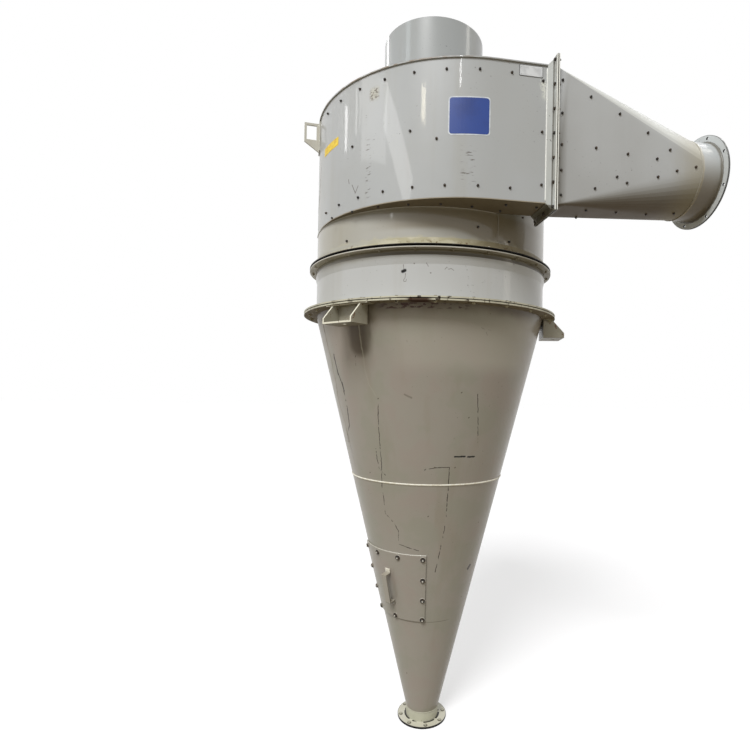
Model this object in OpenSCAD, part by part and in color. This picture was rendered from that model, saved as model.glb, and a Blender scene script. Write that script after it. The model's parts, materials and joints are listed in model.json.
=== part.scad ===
// Cyclone separator with an involute inlet head, a bolted spacer barrel and a long cone.
// Millimetres. The origin is the centre of the discharge face, Z runs up the axis,
// and the inlet points along +X.

/* [Shell] */
// Outer radius of the barrel
barrel_r = 610; // [500:5:800]
// Sheet thickness of the barrel, the scroll and the cone
sheet = 4; // [3:0.5:8]
// Height of the spacer barrel between its two rings
spacer_h = 214; // [150:1:400]
// Height of the upper barrel below the scroll
neck_h = 168; // [120:1:400]

/* [Cone] */
// Height of the upper cone
cone_upper_h = 828; // [700:1:1100]
// Height of the lower cone
cone_lower_h = 1268; // [1100:1:1600]
// Height of the bead between the two cones
bead_h = 8; // [5:1:16]
// How far the bead stands out
bead_out = 4; // [2:0.5:8]

/* [Discharge] */
// Outer radius of the discharge collar
discharge_r = 87; // [60:1:150]
// Height of the discharge collar
discharge_collar_h = 48; // [30:1:100]
// Outer radius of the discharge flange
discharge_flange_r = 132; // [126:1:200]
// Thickness of the discharge flange
discharge_flange_t = 5; // [4:1:20]
// Thickness of the seal under the discharge flange
discharge_seal_t = 5; // [2:1:8]
// Radius of the discharge bolt circle
discharge_bolt_circle_r = 116; // [110:1:118]
// Radius of the discharge bolt holes
discharge_bolt_hole_r = 5.5; // [4:0.5:8]

/* [Barrel rings] */
// How far the upper pair of rings stands out from the barrel
angle_leg = 38; // [25:1:60]
// Thickness of the rolled angle
angle_t = 5; // [3:0.5:8]
// How far the lower pair of rings stands out from the barrel
flat_ring_w = 64; // [50:1:90]
// Thickness of each lower ring
flat_ring_t = 7; // [5:0.5:16]
// Thickness of the black seal between the upper rings
upper_seal_t = 7; // [2:1:12]
// Thickness of the seal between the lower rings
lower_seal_t = 4; // [2:1:8]

/* [Scroll head] */
// How far the scroll's straight wall stands outside the barrel
scroll_offset = 129; // [100:1:220]
// Clear height of the scroll
scroll_clear_h = 579; // [450:1:800]
// Clear width of the inlet duct
duct_w = 152; // [125:1:200]
// Thickness of the roof plate
roof_t = 5; // [3:1:12]
// How far the roof's edge stands proud of the walls
roof_lip = 6; // [0:1:20]
// Width at which the floor's crescent ends
floor_tip_w = 1.5; // [1:0.5:6]

/* [Outlet] */
// Outer radius of the outlet stub
outlet_r = 269; // [200:1:300]
// Height of the outlet stub above the roof
outlet_h = 493; // [200:1:800]
// Wall of the outlet stub and of the pipe below the roof
outlet_wall = 3; // [2:0.5:8]
// How much smaller in radius the pipe below the roof is than the stub
vortex_step = 4; // [2:0.5:20]
// Length of the pipe below the roof
vortex_h = 662; // [300:1:700]

/* [Inlet frames] */
// Distance of the inlet joint from the axis
inlet_joint_x = 388; // [340:1:600]
// Leg of the inlet frame's angle
frame_leg = 34; // [30:1:60]
// Thickness of the inlet frames
frame_t = 5; // [3:0.5:10]
// Thickness of the seal between the inlet frames
frame_seal_t = 3; // [2:1:8]

/* [Transition] */
// Length of the square-to-round body
transition_l = 630; // [400:1:1000]
// Outer radius of the round pipe
pipe_r = 170; // [130:1:180]
// Height of the round pipe's lowest line above the scroll's underside
pipe_rise = 11; // [0:1:200]
// Length of the round collar
pipe_collar_l = 96; // [50:1:200]
// Outer radius of the round flange
round_flange_r = 204; // [202:1:240]
// Thickness of the round flange
round_flange_t = 8; // [5:1:20]
// Radius of the round flange's bolt circle
round_bolt_circle_r = 189.5; // [188:0.5:194]
// Radius of the round flange's bolt holes
round_bolt_hole_r = 6.5; // [4:0.5:7]

/* [Support brackets] */
// Direction of the first bracket, in degrees from the inlet's direction
bracket_angle = -135; // [-180:1:-100]
// Number of brackets
bracket_count = 3; // [3]
// Width of a bracket
bracket_w = 174; // [120:1:240]
// Height of a bracket
bracket_h = 94; // [60:1:150]
// How far a bracket's foot stands out from the barrel
bracket_out = 108; // [90:1:190]
// How far a bracket's outer edge stands out under the ring
bracket_top_out = 50; // [30:1:54]
// Height of the upright edge at the bracket's toe
bracket_toe_h = 25; // [12:1:40]
// Plate thickness of the brackets
bracket_t = 8; // [5:1:14]
// Width of a bracket's top plate
bracket_top_w = 250; // [180:1:280]
// Thickness of a bracket's top plate
bracket_top_t = 5; // [4:1:10]
// Distance of the foot bolts from the barrel
bracket_bolt_out = 60; // [40:1:76]
// Radius of the foot bolt holes
bracket_hole_r = 11; // [6:0.5:14]

/* [Access door] */
// Direction of the door's middle
door_angle = -139; // [-180:1:-90]
// Angle from the door's middle to each side edge
door_half_angle = 40; // [30:1:50]
// Height of the door's lower edge
door_bottom_z = 606; // [500:1:700]
// Height of the door's upper edge
door_top_z = 967; // [850:1:1150]
// Thickness of the door plate
door_t = 4; // [3:0.5:8]
// Thickness of the door's seal
door_seal_t = 3; // [2:0.5:6]
// Width of the rim that the studs hold
door_rim_w = 45; // [30:1:60]
// Angle taken up by the rim at each side
door_rim_angle = 10; // [6:0.5:12]

/* [Door handle] */
// Height of the handle's middle
handle_z = 780; // [740:1:820]
// Length of the handle over its feet
handle_l = 196; // [100:1:210]
// Width of the handle's strap
handle_w = 32; // [20:1:45]
// Thickness of the handle's strap
handle_t = 5; // [3:0.5:8]
// Clear depth behind the handle
handle_clear = 32; // [25:1:60]
// Length of each foot
handle_foot_l = 24; // [20:1:40]

/* [Lifting lugs] */
// Direction of the lugs, measured from the X axis at each side
lug_angle = 5; // [4.5:0.5:12]
// How far a lug stands out from its pad
lug_reach = 74; // [50:1:100]
// Height of a lug
lug_h = 150; // [140:1:240]
// Thickness of a lug
lug_t = 10; // [6:1:20]
// Width of a lug's pad along the barrel
lug_pad_w = 70; // [60:1:160]
// Thickness of a lug's pad
lug_pad_t = 6; // [4:1:12]
// Height of a lug's window
lug_window_h = 74; // [40:1:80]
// Width of the metal round a lug's window
lug_rim = 12; // [8:1:16]
// Gap between a lug's top and the underside of the roof
lug_drop = 5; // [3:1:60]

/* [Hidden] */
$fn = 240;

// Clearance between curved faces that seat on each other
seat = 0.3;
// Overshoot of a cut past the face that it opens
cut = 1;

// Heights from the discharge face upwards
z_discharge_flange = discharge_seal_t;
z_discharge_collar = z_discharge_flange + discharge_flange_t;
z_cone_lower = z_discharge_collar + discharge_collar_h;
z_bead = z_cone_lower + cone_lower_h;
z_cone_upper = z_bead + bead_h;
z_cone_ring = z_cone_upper + cone_upper_h;
z_lower_seal = z_cone_ring + flat_ring_t;
z_spacer_foot_ring = z_lower_seal + lower_seal_t;
z_spacer = z_spacer_foot_ring + flat_ring_t;
z_spacer_head_ring = z_spacer + spacer_h;
z_upper_seal = z_spacer_head_ring + angle_t;
z_neck_ring = z_upper_seal + upper_seal_t;
z_neck = z_neck_ring + angle_t;
z_floor = z_neck + neck_h;
z_scroll = z_floor + sheet;
z_roof = z_scroll + scroll_clear_h;
z_roof_top = z_roof + roof_t;

// Radii that several pieces share
bore_r = barrel_r - sheet;
outlet_bore_r = outlet_r - outlet_wall;
vortex_r = outlet_r - vortex_step;
vortex_bore_r = vortex_r - outlet_wall;
discharge_bore_r = discharge_r - sheet;
pipe_bore_r = pipe_r - sheet;
cone_slope = (barrel_r - discharge_r) / (z_cone_ring - z_cone_lower);
cone_tilt = atan(cone_slope);
function cone_r(z) = discharge_r + cone_slope * (z - z_cone_lower);

// Plan of the scroll head
scroll_r = barrel_r + scroll_offset;
duct_back_y = -scroll_r + duct_w + 2 * sheet;
inner_wall_start_x = sqrt(pow(barrel_r, 2) - pow(duct_back_y - sheet, 2));
// Place along Y of the floor's narrow tip
floor_tip_y = -barrel_r * sin(acos(1 - floor_tip_w / scroll_offset));

// Inlet joint and transition
x_transition_frame = inlet_joint_x + frame_seal_t;
x_transition = x_transition_frame + frame_t;
x_pipe = x_transition + transition_l;
x_round_flange = x_pipe + pipe_collar_l;
duct_mid_y = (duct_back_y - scroll_r) / 2;
pipe_z = z_floor + pipe_rise + pipe_r;
// Facets in each quarter of the transition's round end
fan = 12;
duct_outer_h = z_roof_top - z_floor;
duct_outer_w = duct_w + 2 * sheet;

// Places on the brackets, the door and the lugs
z_bracket = z_cone_ring - bracket_h;
bracket_back_r = barrel_r + seat;
bracket_reach = barrel_r + bracket_out;
bracket_top_r = barrel_r + bracket_top_out;
door_seat_r = seat + door_seal_t + seat;
lug_top_z = z_roof - lug_drop;

module tube(outer, inner, height) {
    difference() {
        cylinder(r = outer, h = height);
        translate([0, 0, -cut]) cylinder(r = inner, h = height + 2 * cut);
    }
}

module bolt_circle(circle_r, hole_r, height, count, first) {
    for (i = [0 : count - 1])
        rotate([0, 0, first + i * 360 / count])
            translate([circle_r, 0, -cut])
                cylinder(r = hole_r, h = height + 2 * cut, $fn = 32);
}

// A block that spans the directions from one angle to another, up to a radius
module sector(from_angle, to_angle, reach, height) {
    middle = (from_angle + to_angle) / 2;
    far = reach / cos((to_angle - from_angle) / 2);
    linear_extrude(height = height)
        polygon([
            [0, 0],
            [far * cos(from_angle), far * sin(from_angle)],
            [2 * far * cos(middle), 2 * far * sin(middle)],
            [far * cos(to_angle), far * sin(to_angle)]
        ]);
}

// A ring of rolled angle, one leg flat and one leg along the shell
module angle_ring(leg_up) {
    flat_z = leg_up ? 0 : angle_leg - angle_t;
    translate([0, 0, flat_z]) tube(barrel_r + angle_leg, bore_r, angle_t);
    leg_z = leg_up ? angle_t : 0;
    translate([0, 0, leg_z]) tube(barrel_r + seat + angle_t, barrel_r + seat, angle_leg - angle_t);
}

// Plan of the scroll head outside the barrel, a quarter circle that runs on as a straight duct
module scroll_block(grow, end_x, height) {
    intersection() {
        translate([scroll_offset, 0, 0]) cylinder(r = scroll_r + grow, h = height);
        translate([scroll_offset - 2 * scroll_r, -2 * scroll_r, 0])
            cube([2 * scroll_r, 2 * scroll_r, height]);
    }
    translate([scroll_offset, -scroll_r - grow, 0])
        cube([end_x - scroll_offset, scroll_r + grow + duct_back_y + grow, height]);
}

module outlet_stub() {
    color("lightgray")
        translate([0, 0, z_roof_top]) tube(outlet_r, outlet_bore_r, outlet_h);
}

module vortex_finder() {
    color("lightgray")
        translate([0, 0, z_roof - vortex_h]) tube(vortex_r, vortex_bore_r, vortex_h);
}

module roof_plate() {
    color("silver")
        translate([0, 0, z_roof])
            difference() {
                union() {
                    cylinder(r = barrel_r + roof_lip, h = roof_t);
                    scroll_block(roof_lip, inlet_joint_x - frame_leg, roof_t);
                    scroll_block(0, inlet_joint_x, roof_t);
                }
                translate([0, 0, -cut]) cylinder(r = vortex_bore_r, h = roof_t + 2 * cut);
            }
}

module scroll_wall() {
    color("silver")
        translate([0, 0, z_scroll]) {
            intersection() {
                translate([scroll_offset, 0, 0]) tube(scroll_r, scroll_r - sheet, scroll_clear_h);
                translate([scroll_offset - 2 * scroll_r, -2 * scroll_r, 0])
                    cube([2 * scroll_r, 2 * scroll_r, scroll_clear_h]);
            }
            translate([scroll_offset, -scroll_r, 0])
                cube([inlet_joint_x - scroll_offset, sheet, scroll_clear_h]);
        }
}

module scroll_floor() {
    color("silver")
        translate([0, 0, z_floor])
            difference() {
                scroll_block(0, inlet_joint_x, sheet);
                translate([0, 0, -cut]) cylinder(r = barrel_r + seat, h = sheet + 2 * cut);
                translate([-2 * barrel_r, floor_tip_y, -cut])
                    cube([2 * barrel_r, scroll_r, sheet + 2 * cut]);
            }
}

module inlet_inner_wall() {
    color("silver")
        translate([0, 0, z_scroll])
            difference() {
                translate([0, duct_back_y - sheet, 0]) cube([inlet_joint_x, sheet, scroll_clear_h]);
                translate([0, 0, -cut]) cylinder(r = barrel_r + seat, h = scroll_clear_h + 2 * cut);
            }
}

module upper_barrel() {
    color("silver")
        difference() {
            translate([0, 0, z_neck]) tube(barrel_r, bore_r, z_roof - z_neck);
            translate([-2 * barrel_r, -2 * barrel_r, z_scroll])
                cube([2 * barrel_r + inner_wall_start_x, 2 * barrel_r, scroll_clear_h + cut]);
        }
}

module upper_barrel_ring() {
    color("silver") translate([0, 0, z_neck_ring]) angle_ring(true);
}

module upper_gasket() {
    color("black")
        translate([0, 0, z_upper_seal]) tube(barrel_r + angle_leg - sheet, bore_r, upper_seal_t);
}

module lower_barrel_top_ring() {
    color("silver") translate([0, 0, z_upper_seal - angle_leg]) angle_ring(false);
}

module lower_barrel() {
    color("gainsboro") translate([0, 0, z_spacer]) tube(barrel_r, bore_r, spacer_h);
}

module lower_barrel_bottom_ring() {
    color("tan") translate([0, 0, z_spacer_foot_ring]) tube(barrel_r + flat_ring_w, bore_r, flat_ring_t);
}

module lower_gasket() {
    color("dimgray")
        translate([0, 0, z_lower_seal]) tube(barrel_r + flat_ring_w - sheet, bore_r, lower_seal_t);
}

module cone_top_ring() {
    color("darkkhaki") translate([0, 0, z_cone_ring]) tube(barrel_r + flat_ring_w, bore_r, flat_ring_t);
}

// A stretch of the cone's wall between two heights
module cone_shell(low_z, high_z) {
    translate([0, 0, low_z])
        difference() {
            cylinder(r1 = cone_r(low_z), r2 = cone_r(high_z), h = high_z - low_z);
            translate([0, 0, -cut])
                cylinder(
                    r1 = cone_r(low_z - cut) - sheet,
                    r2 = cone_r(high_z + cut) - sheet,
                    h = high_z - low_z + 2 * cut
                );
        }
}

module cone_upper() {
    color("rosybrown") cone_shell(z_cone_upper, z_cone_ring);
}

module cone_seam_bead() {
    color("white")
        rotate_extrude()
            polygon([
                [cone_r(z_bead) - sheet, z_bead],
                [cone_r(z_bead) + bead_out / 2, z_bead],
                [cone_r(z_bead + bead_h / 2) + bead_out, z_bead + bead_h / 2],
                [cone_r(z_cone_upper) + bead_out / 2, z_cone_upper],
                [cone_r(z_cone_upper) - sheet, z_cone_upper]
            ]);
}

module cone_lower() {
    color("rosybrown")
        difference() {
            cone_shell(z_cone_lower, z_bead);
            translate([0, 0, door_bottom_z + door_rim_w])
                sector(
                    door_angle - door_half_angle + door_rim_angle,
                    door_angle + door_half_angle - door_rim_angle,
                    cone_r(door_top_z),
                    door_top_z - door_bottom_z - 2 * door_rim_w
                );
        }
}

module discharge_collar() {
    color("gainsboro")
        translate([0, 0, z_discharge_collar]) tube(discharge_r, discharge_bore_r, discharge_collar_h);
}

module discharge_plate(height) {
    difference() {
        tube(discharge_flange_r, discharge_bore_r, height);
        bolt_circle(discharge_bolt_circle_r, discharge_bolt_hole_r, height, 8, 0);
    }
}

module discharge_flange() {
    color("whitesmoke") translate([0, 0, z_discharge_flange]) discharge_plate(discharge_flange_t);
}

module discharge_gasket() {
    color("black") discharge_plate(discharge_seal_t);
}

// Side plate of a bracket, narrow under the ring and wide at the foot
module bracket_gusset() {
    rotate([90, 0, 0])
        linear_extrude(height = bracket_t)
            polygon([
                [bracket_back_r, bracket_t],
                [bracket_reach, bracket_t],
                [bracket_reach, bracket_toe_h],
                [bracket_top_r, bracket_h - bracket_top_t],
                [bracket_back_r, bracket_h - bracket_top_t]
            ]);
}

module support_bracket(index) {
    color("darkgray")
        rotate([0, 0, bracket_angle + index * 360 / bracket_count])
            translate([0, 0, z_bracket])
                difference() {
                    union() {
                        translate([bracket_back_r, -bracket_w / 2, 0])
                            cube([bracket_reach - bracket_back_r, bracket_w, bracket_t]);
                        translate([bracket_back_r, -bracket_w / 2, 0])
                            cube([bracket_t, bracket_w, bracket_h - bracket_top_t]);
                        translate([bracket_back_r, -bracket_top_w / 2, bracket_h - bracket_top_t])
                            cube([bracket_top_r - bracket_back_r, bracket_top_w, bracket_top_t]);
                        translate([0, -bracket_w / 2 + bracket_t, 0]) bracket_gusset();
                        translate([0, bracket_w / 2, 0]) bracket_gusset();
                    }
                    translate([barrel_r + bracket_bolt_out, 0, -cut])
                        cylinder(r = bracket_hole_r, h = bracket_t + 2 * cut, $fn = 32);
                }
}

module support_bracket_1() { support_bracket(0); }
module support_bracket_2() { support_bracket(1); }
module support_bracket_3() { support_bracket(2); }

// A sheet that lies on the cone, lifted off it and cut to the door's outline
module door_sheet(lift, thickness) {
    intersection() {
        difference() {
            cylinder(r1 = cone_r(0) + lift + thickness, r2 = cone_r(z_bead) + lift + thickness, h = z_bead);
            translate([0, 0, -cut])
                cylinder(r1 = cone_r(-cut) + lift, r2 = cone_r(z_bead + cut) + lift, h = z_bead + 2 * cut);
        }
        translate([0, 0, door_bottom_z])
            sector(
                door_angle - door_half_angle,
                door_angle + door_half_angle,
                cone_r(door_top_z) + lift + thickness,
                door_top_z - door_bottom_z
            );
    }
}

module access_door() {
    color("gray") door_sheet(door_seat_r, door_t);
}

module access_door_gasket() {
    color("dimgray")
        difference() {
            door_sheet(seat, door_seal_t);
            translate([0, 0, door_bottom_z + door_rim_w])
                sector(
                    door_angle - door_half_angle + door_rim_angle,
                    door_angle + door_half_angle - door_rim_angle,
                    2 * cone_r(door_top_z),
                    door_top_z - door_bottom_z - 2 * door_rim_w
                );
        }
}

// A bent strap whose feet lie on the door, drawn in profile and swept across its width
module door_handle() {
    half = handle_l / 2;
    leg = half - handle_foot_l;
    outer = handle_clear + handle_t;
    door_face_r = cone_r(handle_z) + door_seat_r + door_t;
    color("gainsboro")
        rotate([0, 0, door_angle])
            translate([door_face_r, 0, handle_z])
                rotate([0, cone_tilt, 0])
                    translate([seat, handle_w / 2, 0])
                        rotate([90, 0, 0])
                            linear_extrude(height = handle_w)
                                polygon([
                                    [0, -half],
                                    [handle_t, -half],
                                    [handle_t, -leg - handle_t],
                                    [outer, -leg - handle_t],
                                    [outer, leg + handle_t],
                                    [handle_t, leg + handle_t],
                                    [handle_t, half],
                                    [0, half],
                                    [0, leg],
                                    [handle_clear, leg],
                                    [handle_clear, -leg],
                                    [0, -leg]
                                ]);
}

// A rectangular frame plate round the duct, seen along the duct
module frame_plate(thickness, opening_w, opening_h) {
    difference() {
        translate([0, duct_mid_y - duct_outer_w / 2 - frame_leg, z_floor - frame_leg])
            cube([thickness, duct_outer_w + 2 * frame_leg, duct_outer_h + 2 * frame_leg]);
        translate([-cut, duct_mid_y - opening_w / 2, z_roof_top - roof_t - opening_h])
            cube([thickness + 2 * cut, opening_w, opening_h]);
    }
}

// An upright angle's wall leg, its ends mitred up to the frame's corners
module upright_leg() {
    rotate([90, 0, 0])
        linear_extrude(height = frame_t)
            polygon([
                [inlet_joint_x - frame_leg, z_floor],
                [inlet_joint_x - frame_t, z_floor - frame_leg + frame_t],
                [inlet_joint_x - frame_t, z_roof_top + frame_leg - frame_t],
                [inlet_joint_x - frame_leg, z_roof_top]
            ]);
}

module inlet_duct_frame() {
    color("lightgray") {
        difference() {
            translate([inlet_joint_x - frame_t, 0, 0]) frame_plate(frame_t, duct_w, scroll_clear_h);
            translate([0, -scroll_r, z_floor])
                cube([2 * inlet_joint_x, duct_outer_w, duct_outer_h]);
        }
        translate([0, -scroll_r, 0]) upright_leg();
        translate([0, duct_back_y + frame_t, 0]) upright_leg();
        translate([inlet_joint_x - frame_leg, -scroll_r, z_roof_top])
            cube([frame_leg - frame_t, duct_outer_w, frame_t]);
        translate([inlet_joint_x - frame_leg, -scroll_r, z_floor - frame_t])
            cube([frame_leg - frame_t, duct_outer_w, frame_t]);
    }
}

module inlet_gasket() {
    color("black") translate([inlet_joint_x, 0, 0]) frame_plate(frame_seal_t, duct_w, scroll_clear_h);
}

module transition_frame() {
    color("lightgray") translate([x_transition_frame, 0, 0]) frame_plate(frame_t, duct_w, scroll_clear_h);
}

// A rectangle's corners in the plane across the duct, from the lower front one round
function rectangle(x, width, height, low_z) = [
    [x, duct_mid_y - width / 2, low_z],
    [x, duct_mid_y + width / 2, low_z],
    [x, duct_mid_y + width / 2, low_z + height],
    [x, duct_mid_y - width / 2, low_z + height]
];

// A circle's points in the plane across the duct, from its front one round
function circle_points(x, radius) = [
    for (i = [0 : 4 * fan - 1])
        let (angle = 180 + i * 90 / fan)
            [x, duct_mid_y + radius * cos(angle), pipe_z + radius * sin(angle)]
];

// The square-to-round body: four flat triangles and four fans of a cone, inside and outside
module transition_body() {
    ring = 4 * fan;
    points = concat(
        rectangle(x_transition, duct_outer_w, duct_outer_h, z_floor),
        circle_points(x_pipe, pipe_r),
        rectangle(x_transition, duct_w, scroll_clear_h, z_scroll),
        circle_points(x_pipe, pipe_bore_r)
    );
    inner = 4 + ring;
    color("darkgray")
        polyhedron(
            points = points,
            faces = [
                for (k = [0 : 3], j = [0 : fan - 1])
                    let (a = k * fan + j, b = (k * fan + j + 1) % ring)
                        each [
                            [k, 4 + a, 4 + b],
                            [inner + k, inner + 4 + b, inner + 4 + a],
                            [4 + a, inner + 4 + a, inner + 4 + b, 4 + b]
                        ],
                for (k = [0 : 3])
                    let (next = (k + 1) % 4, c = ((k + 1) * fan) % ring)
                        each [
                            [k, 4 + c, next],
                            [inner + k, inner + next, inner + 4 + c],
                            [k, next, inner + next, inner + k]
                        ]
            ]
        );
}

module along_pipe(start_x) {
    translate([start_x, duct_mid_y, pipe_z]) rotate([0, 90, 0]) children();
}

module transition_collar() {
    color("darkgray") along_pipe(x_pipe) tube(pipe_r, pipe_bore_r, pipe_collar_l);
}

module inlet_round_flange() {
    color("lightgray")
        along_pipe(x_round_flange)
            difference() {
                tube(round_flange_r, pipe_bore_r, round_flange_t);
                bolt_circle(round_bolt_circle_r, round_bolt_hole_r, round_flange_t, 8, 22.5);
            }
}

// A lifting eye on a pad curved to the shell, its lower edge tapered back to the pad
module lifting_lug(shell_r) {
    pad_r = shell_r + seat;
    root_r = pad_r + lug_pad_t;
    pad_angle = asin(lug_pad_w / 2 / shell_r);
    color("lightgray") {
        intersection() {
            translate([0, 0, lug_top_z - lug_h]) tube(root_r, pad_r, lug_h);
            translate([0, 0, lug_top_z - lug_h]) sector(-pad_angle, pad_angle, root_r, lug_h);
        }
        difference() {
            translate([0, lug_t / 2, 0])
                rotate([90, 0, 0])
                    linear_extrude(height = lug_t)
                        polygon([
                            [pad_r + lug_pad_t / 2, lug_top_z],
                            [root_r + lug_reach, lug_top_z],
                            [root_r + lug_reach, lug_top_z - lug_window_h - 2 * lug_rim],
                            [pad_r + lug_pad_t / 2, lug_top_z - lug_h]
                        ]);
            translate([root_r + lug_rim, -lug_t, lug_top_z - lug_rim - lug_window_h])
                cube([lug_reach - 2 * lug_rim, 2 * lug_t, lug_window_h]);
        }
    }
}

module lifting_lug_left() {
    translate([scroll_offset, 0, 0]) rotate([0, 0, 180 + lug_angle]) lifting_lug(scroll_r);
}

module lifting_lug_right() { rotate([0, 0, lug_angle]) lifting_lug(barrel_r); }

outlet_stub();
vortex_finder();
roof_plate();
scroll_wall();
scroll_floor();
inlet_inner_wall();
upper_barrel();
upper_barrel_ring();
upper_gasket();
lower_barrel_top_ring();
lower_barrel();
lower_barrel_bottom_ring();
lower_gasket();
cone_top_ring();
cone_upper();
cone_seam_bead();
cone_lower();
discharge_collar();
discharge_flange();
discharge_gasket();
support_bracket_1();
support_bracket_2();
support_bracket_3();
access_door();
access_door_gasket();
door_handle();
inlet_duct_frame();
inlet_gasket();
transition_frame();
transition_body();
transition_collar();
inlet_round_flange();
lifting_lug_left();
lifting_lug_right();
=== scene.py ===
# %% [markdown]
# A cyclone separator cleans dusty air. Air blows in along the flat duct at the top, spins round the
# barrel, throws its dust against the wall and leaves through the round pipe on the roof, while the
# dust slides down the cone. This lesson dresses a machine whose real shapes are already made: we add
# bolts, weld beads, stickers and paint, and light it like a studio photograph.

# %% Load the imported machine
import json
import math
import random

import bmesh
import bpy
from mathutils import Matrix, Vector
from mathutils.bvhtree import BVHTree


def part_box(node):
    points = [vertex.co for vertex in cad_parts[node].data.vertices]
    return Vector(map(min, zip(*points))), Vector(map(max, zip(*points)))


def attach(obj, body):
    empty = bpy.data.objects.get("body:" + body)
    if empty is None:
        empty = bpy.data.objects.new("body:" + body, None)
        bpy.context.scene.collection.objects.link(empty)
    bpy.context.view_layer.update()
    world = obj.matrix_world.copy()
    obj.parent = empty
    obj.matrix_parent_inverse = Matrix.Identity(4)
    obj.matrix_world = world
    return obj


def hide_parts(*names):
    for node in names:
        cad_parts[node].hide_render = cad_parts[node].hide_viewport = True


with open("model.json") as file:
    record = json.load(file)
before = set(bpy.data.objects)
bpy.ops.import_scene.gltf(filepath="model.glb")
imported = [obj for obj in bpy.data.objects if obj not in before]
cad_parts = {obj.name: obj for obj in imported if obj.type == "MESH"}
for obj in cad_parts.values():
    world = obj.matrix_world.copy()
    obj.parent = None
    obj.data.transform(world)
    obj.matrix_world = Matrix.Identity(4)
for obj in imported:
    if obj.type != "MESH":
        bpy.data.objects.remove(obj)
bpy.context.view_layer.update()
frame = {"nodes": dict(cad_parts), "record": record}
print("nodes loaded:", len(frame["nodes"]))

# %% [markdown]
# Every size that the dressing needs is read off the machine itself, so that nothing floats when the
# machine is changed. A node's box gives its lowest and highest corner, and most of the radii and
# heights that follow are simply one side of such a box.

# %% Measure the barrel, the cone and the scroll
barrel_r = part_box("lower_barrel")[1].x
ring_1_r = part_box("upper_barrel_ring")[1].x
ring_2_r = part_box("cone_top_ring")[1].x
ring_1_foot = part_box("lower_barrel_top_ring")[1].z
ring_1_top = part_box("upper_gasket")[1].z
ring_2_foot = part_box("cone_top_ring")[0].z
ring_2_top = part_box("lower_barrel_bottom_ring")[1].z
roof_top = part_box("roof_plate")[1].z
roof_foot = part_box("roof_plate")[0].z
floor_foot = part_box("scroll_floor")[0].z
scroll_x = -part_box("scroll_wall")[0].y - barrel_r
scroll_r = -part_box("scroll_wall")[0].y
joint_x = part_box("inlet_gasket")[0].x
cone_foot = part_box("cone_lower")[0].z
cone_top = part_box("cone_upper")[1].z
cone_foot_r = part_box("discharge_collar")[1].x
cone_slope = (barrel_r - cone_foot_r) / (cone_top - cone_foot)
cone_tilt = math.atan(cone_slope)
print("barrel radius", round(barrel_r, 3), "scroll radius", round(scroll_r, 3), "about x", round(scroll_x, 3))


def cone_radius(z):
    return cone_foot_r + cone_slope * (z - cone_foot)


# %% [markdown]
# The camera stands at eye height, less than three metres away, looking almost level and turned a
# little to the right. A short lens makes the top of the machine loom. The
# picture's frame is shifted instead of turned, so that upright lines stay upright.

# %% Set the camera
IMAGE_SIDE = 750
camera_data = bpy.data.cameras.new("photo_camera")
camera = bpy.data.objects.new("photo_camera", camera_data)
bpy.context.scene.collection.objects.link(camera)
bpy.context.scene.camera = camera
camera_place = Vector((-0.5214, -2.7954, 1.7726))
camera_yaw = math.radians(9.58)
camera_pitch = math.radians(0.29)
camera_roll = math.radians(1.05)
ahead = Vector((
    math.sin(camera_yaw) * math.cos(camera_pitch),
    math.cos(camera_yaw) * math.cos(camera_pitch),
    math.sin(camera_pitch),
))
level_right = Vector((math.cos(camera_yaw), -math.sin(camera_yaw), 0.0))
level_up = level_right.cross(ahead)
camera_right = math.cos(camera_roll) * level_right + math.sin(camera_roll) * level_up
camera_up = -math.sin(camera_roll) * level_right + math.cos(camera_roll) * level_up
camera_turn = Matrix((camera_right, camera_up, -ahead)).transposed()
camera.matrix_world = Matrix.Translation(camera_place) @ camera_turn.to_4x4()
camera_data.sensor_width = 36.0
camera_data.lens = 24.69
camera_data.shift_x = -0.0583
camera_data.shift_y = 0.0188
camera_data.clip_end = 200.0
bpy.context.scene.view_settings.view_transform = "Standard"
print("camera distance to the axis:", round(camera_place.xy.length, 2), "m")

# %% [markdown]
# The studio is a white sheet with soft lamps. The world and the floor look white to the camera and in
# reflections, but they light the paint more gently, so the undersides stay dark as they do in a real
# shed, and the enamel adds painted shade to them. The floor keeps the machine's shadow.


# %% Small helpers for shader nodes
def put(tree, kind, **settings):
    """Adds a shader node. Settings named in_NAME fill an input, any other sets a property."""
    made = tree.nodes.new(kind)
    for name, value in settings.items():
        if not name.startswith("in_"):
            setattr(made, name, value)
    for name, value in settings.items():
        if name.startswith("in_"):
            key = name[3:]
            socket = made.inputs[int(key)] if key.isdigit() else made.inputs[key.replace("_", " ")]
            if isinstance(value, bpy.types.NodeSocket):
                tree.links.new(value, socket)
            else:
                socket.default_value = value
    return made


def maths(tree, operation, first, second=0.0, clamp=False):
    """One Math node, which returns its output."""
    made = put(tree, "ShaderNodeMath", operation=operation, use_clamp=clamp, in_0=first, in_1=second)
    return made.outputs[0]


def blend_colour(tree, share, first, second):
    """Mixes two colours by a share from 0 to 1."""
    made = tree.nodes.new("ShaderNodeMix")
    made.data_type = "RGBA"
    for socket, value in zip((made.inputs[0], made.inputs[6], made.inputs[7]), (share, first, second)):
        if isinstance(value, bpy.types.NodeSocket):
            tree.links.new(value, socket)
        else:
            socket.default_value = value
    return made.outputs[2]


def ramp(tree, value, low, high):
    """Maps low to 0 and high to 1 with soft ends."""
    made = put(tree, "ShaderNodeMapRange", interpolation_type="SMOOTHSTEP", in_Value=value)
    made.inputs["From Min"].default_value = low
    made.inputs["From Max"].default_value = high
    return made.outputs[0]


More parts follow.
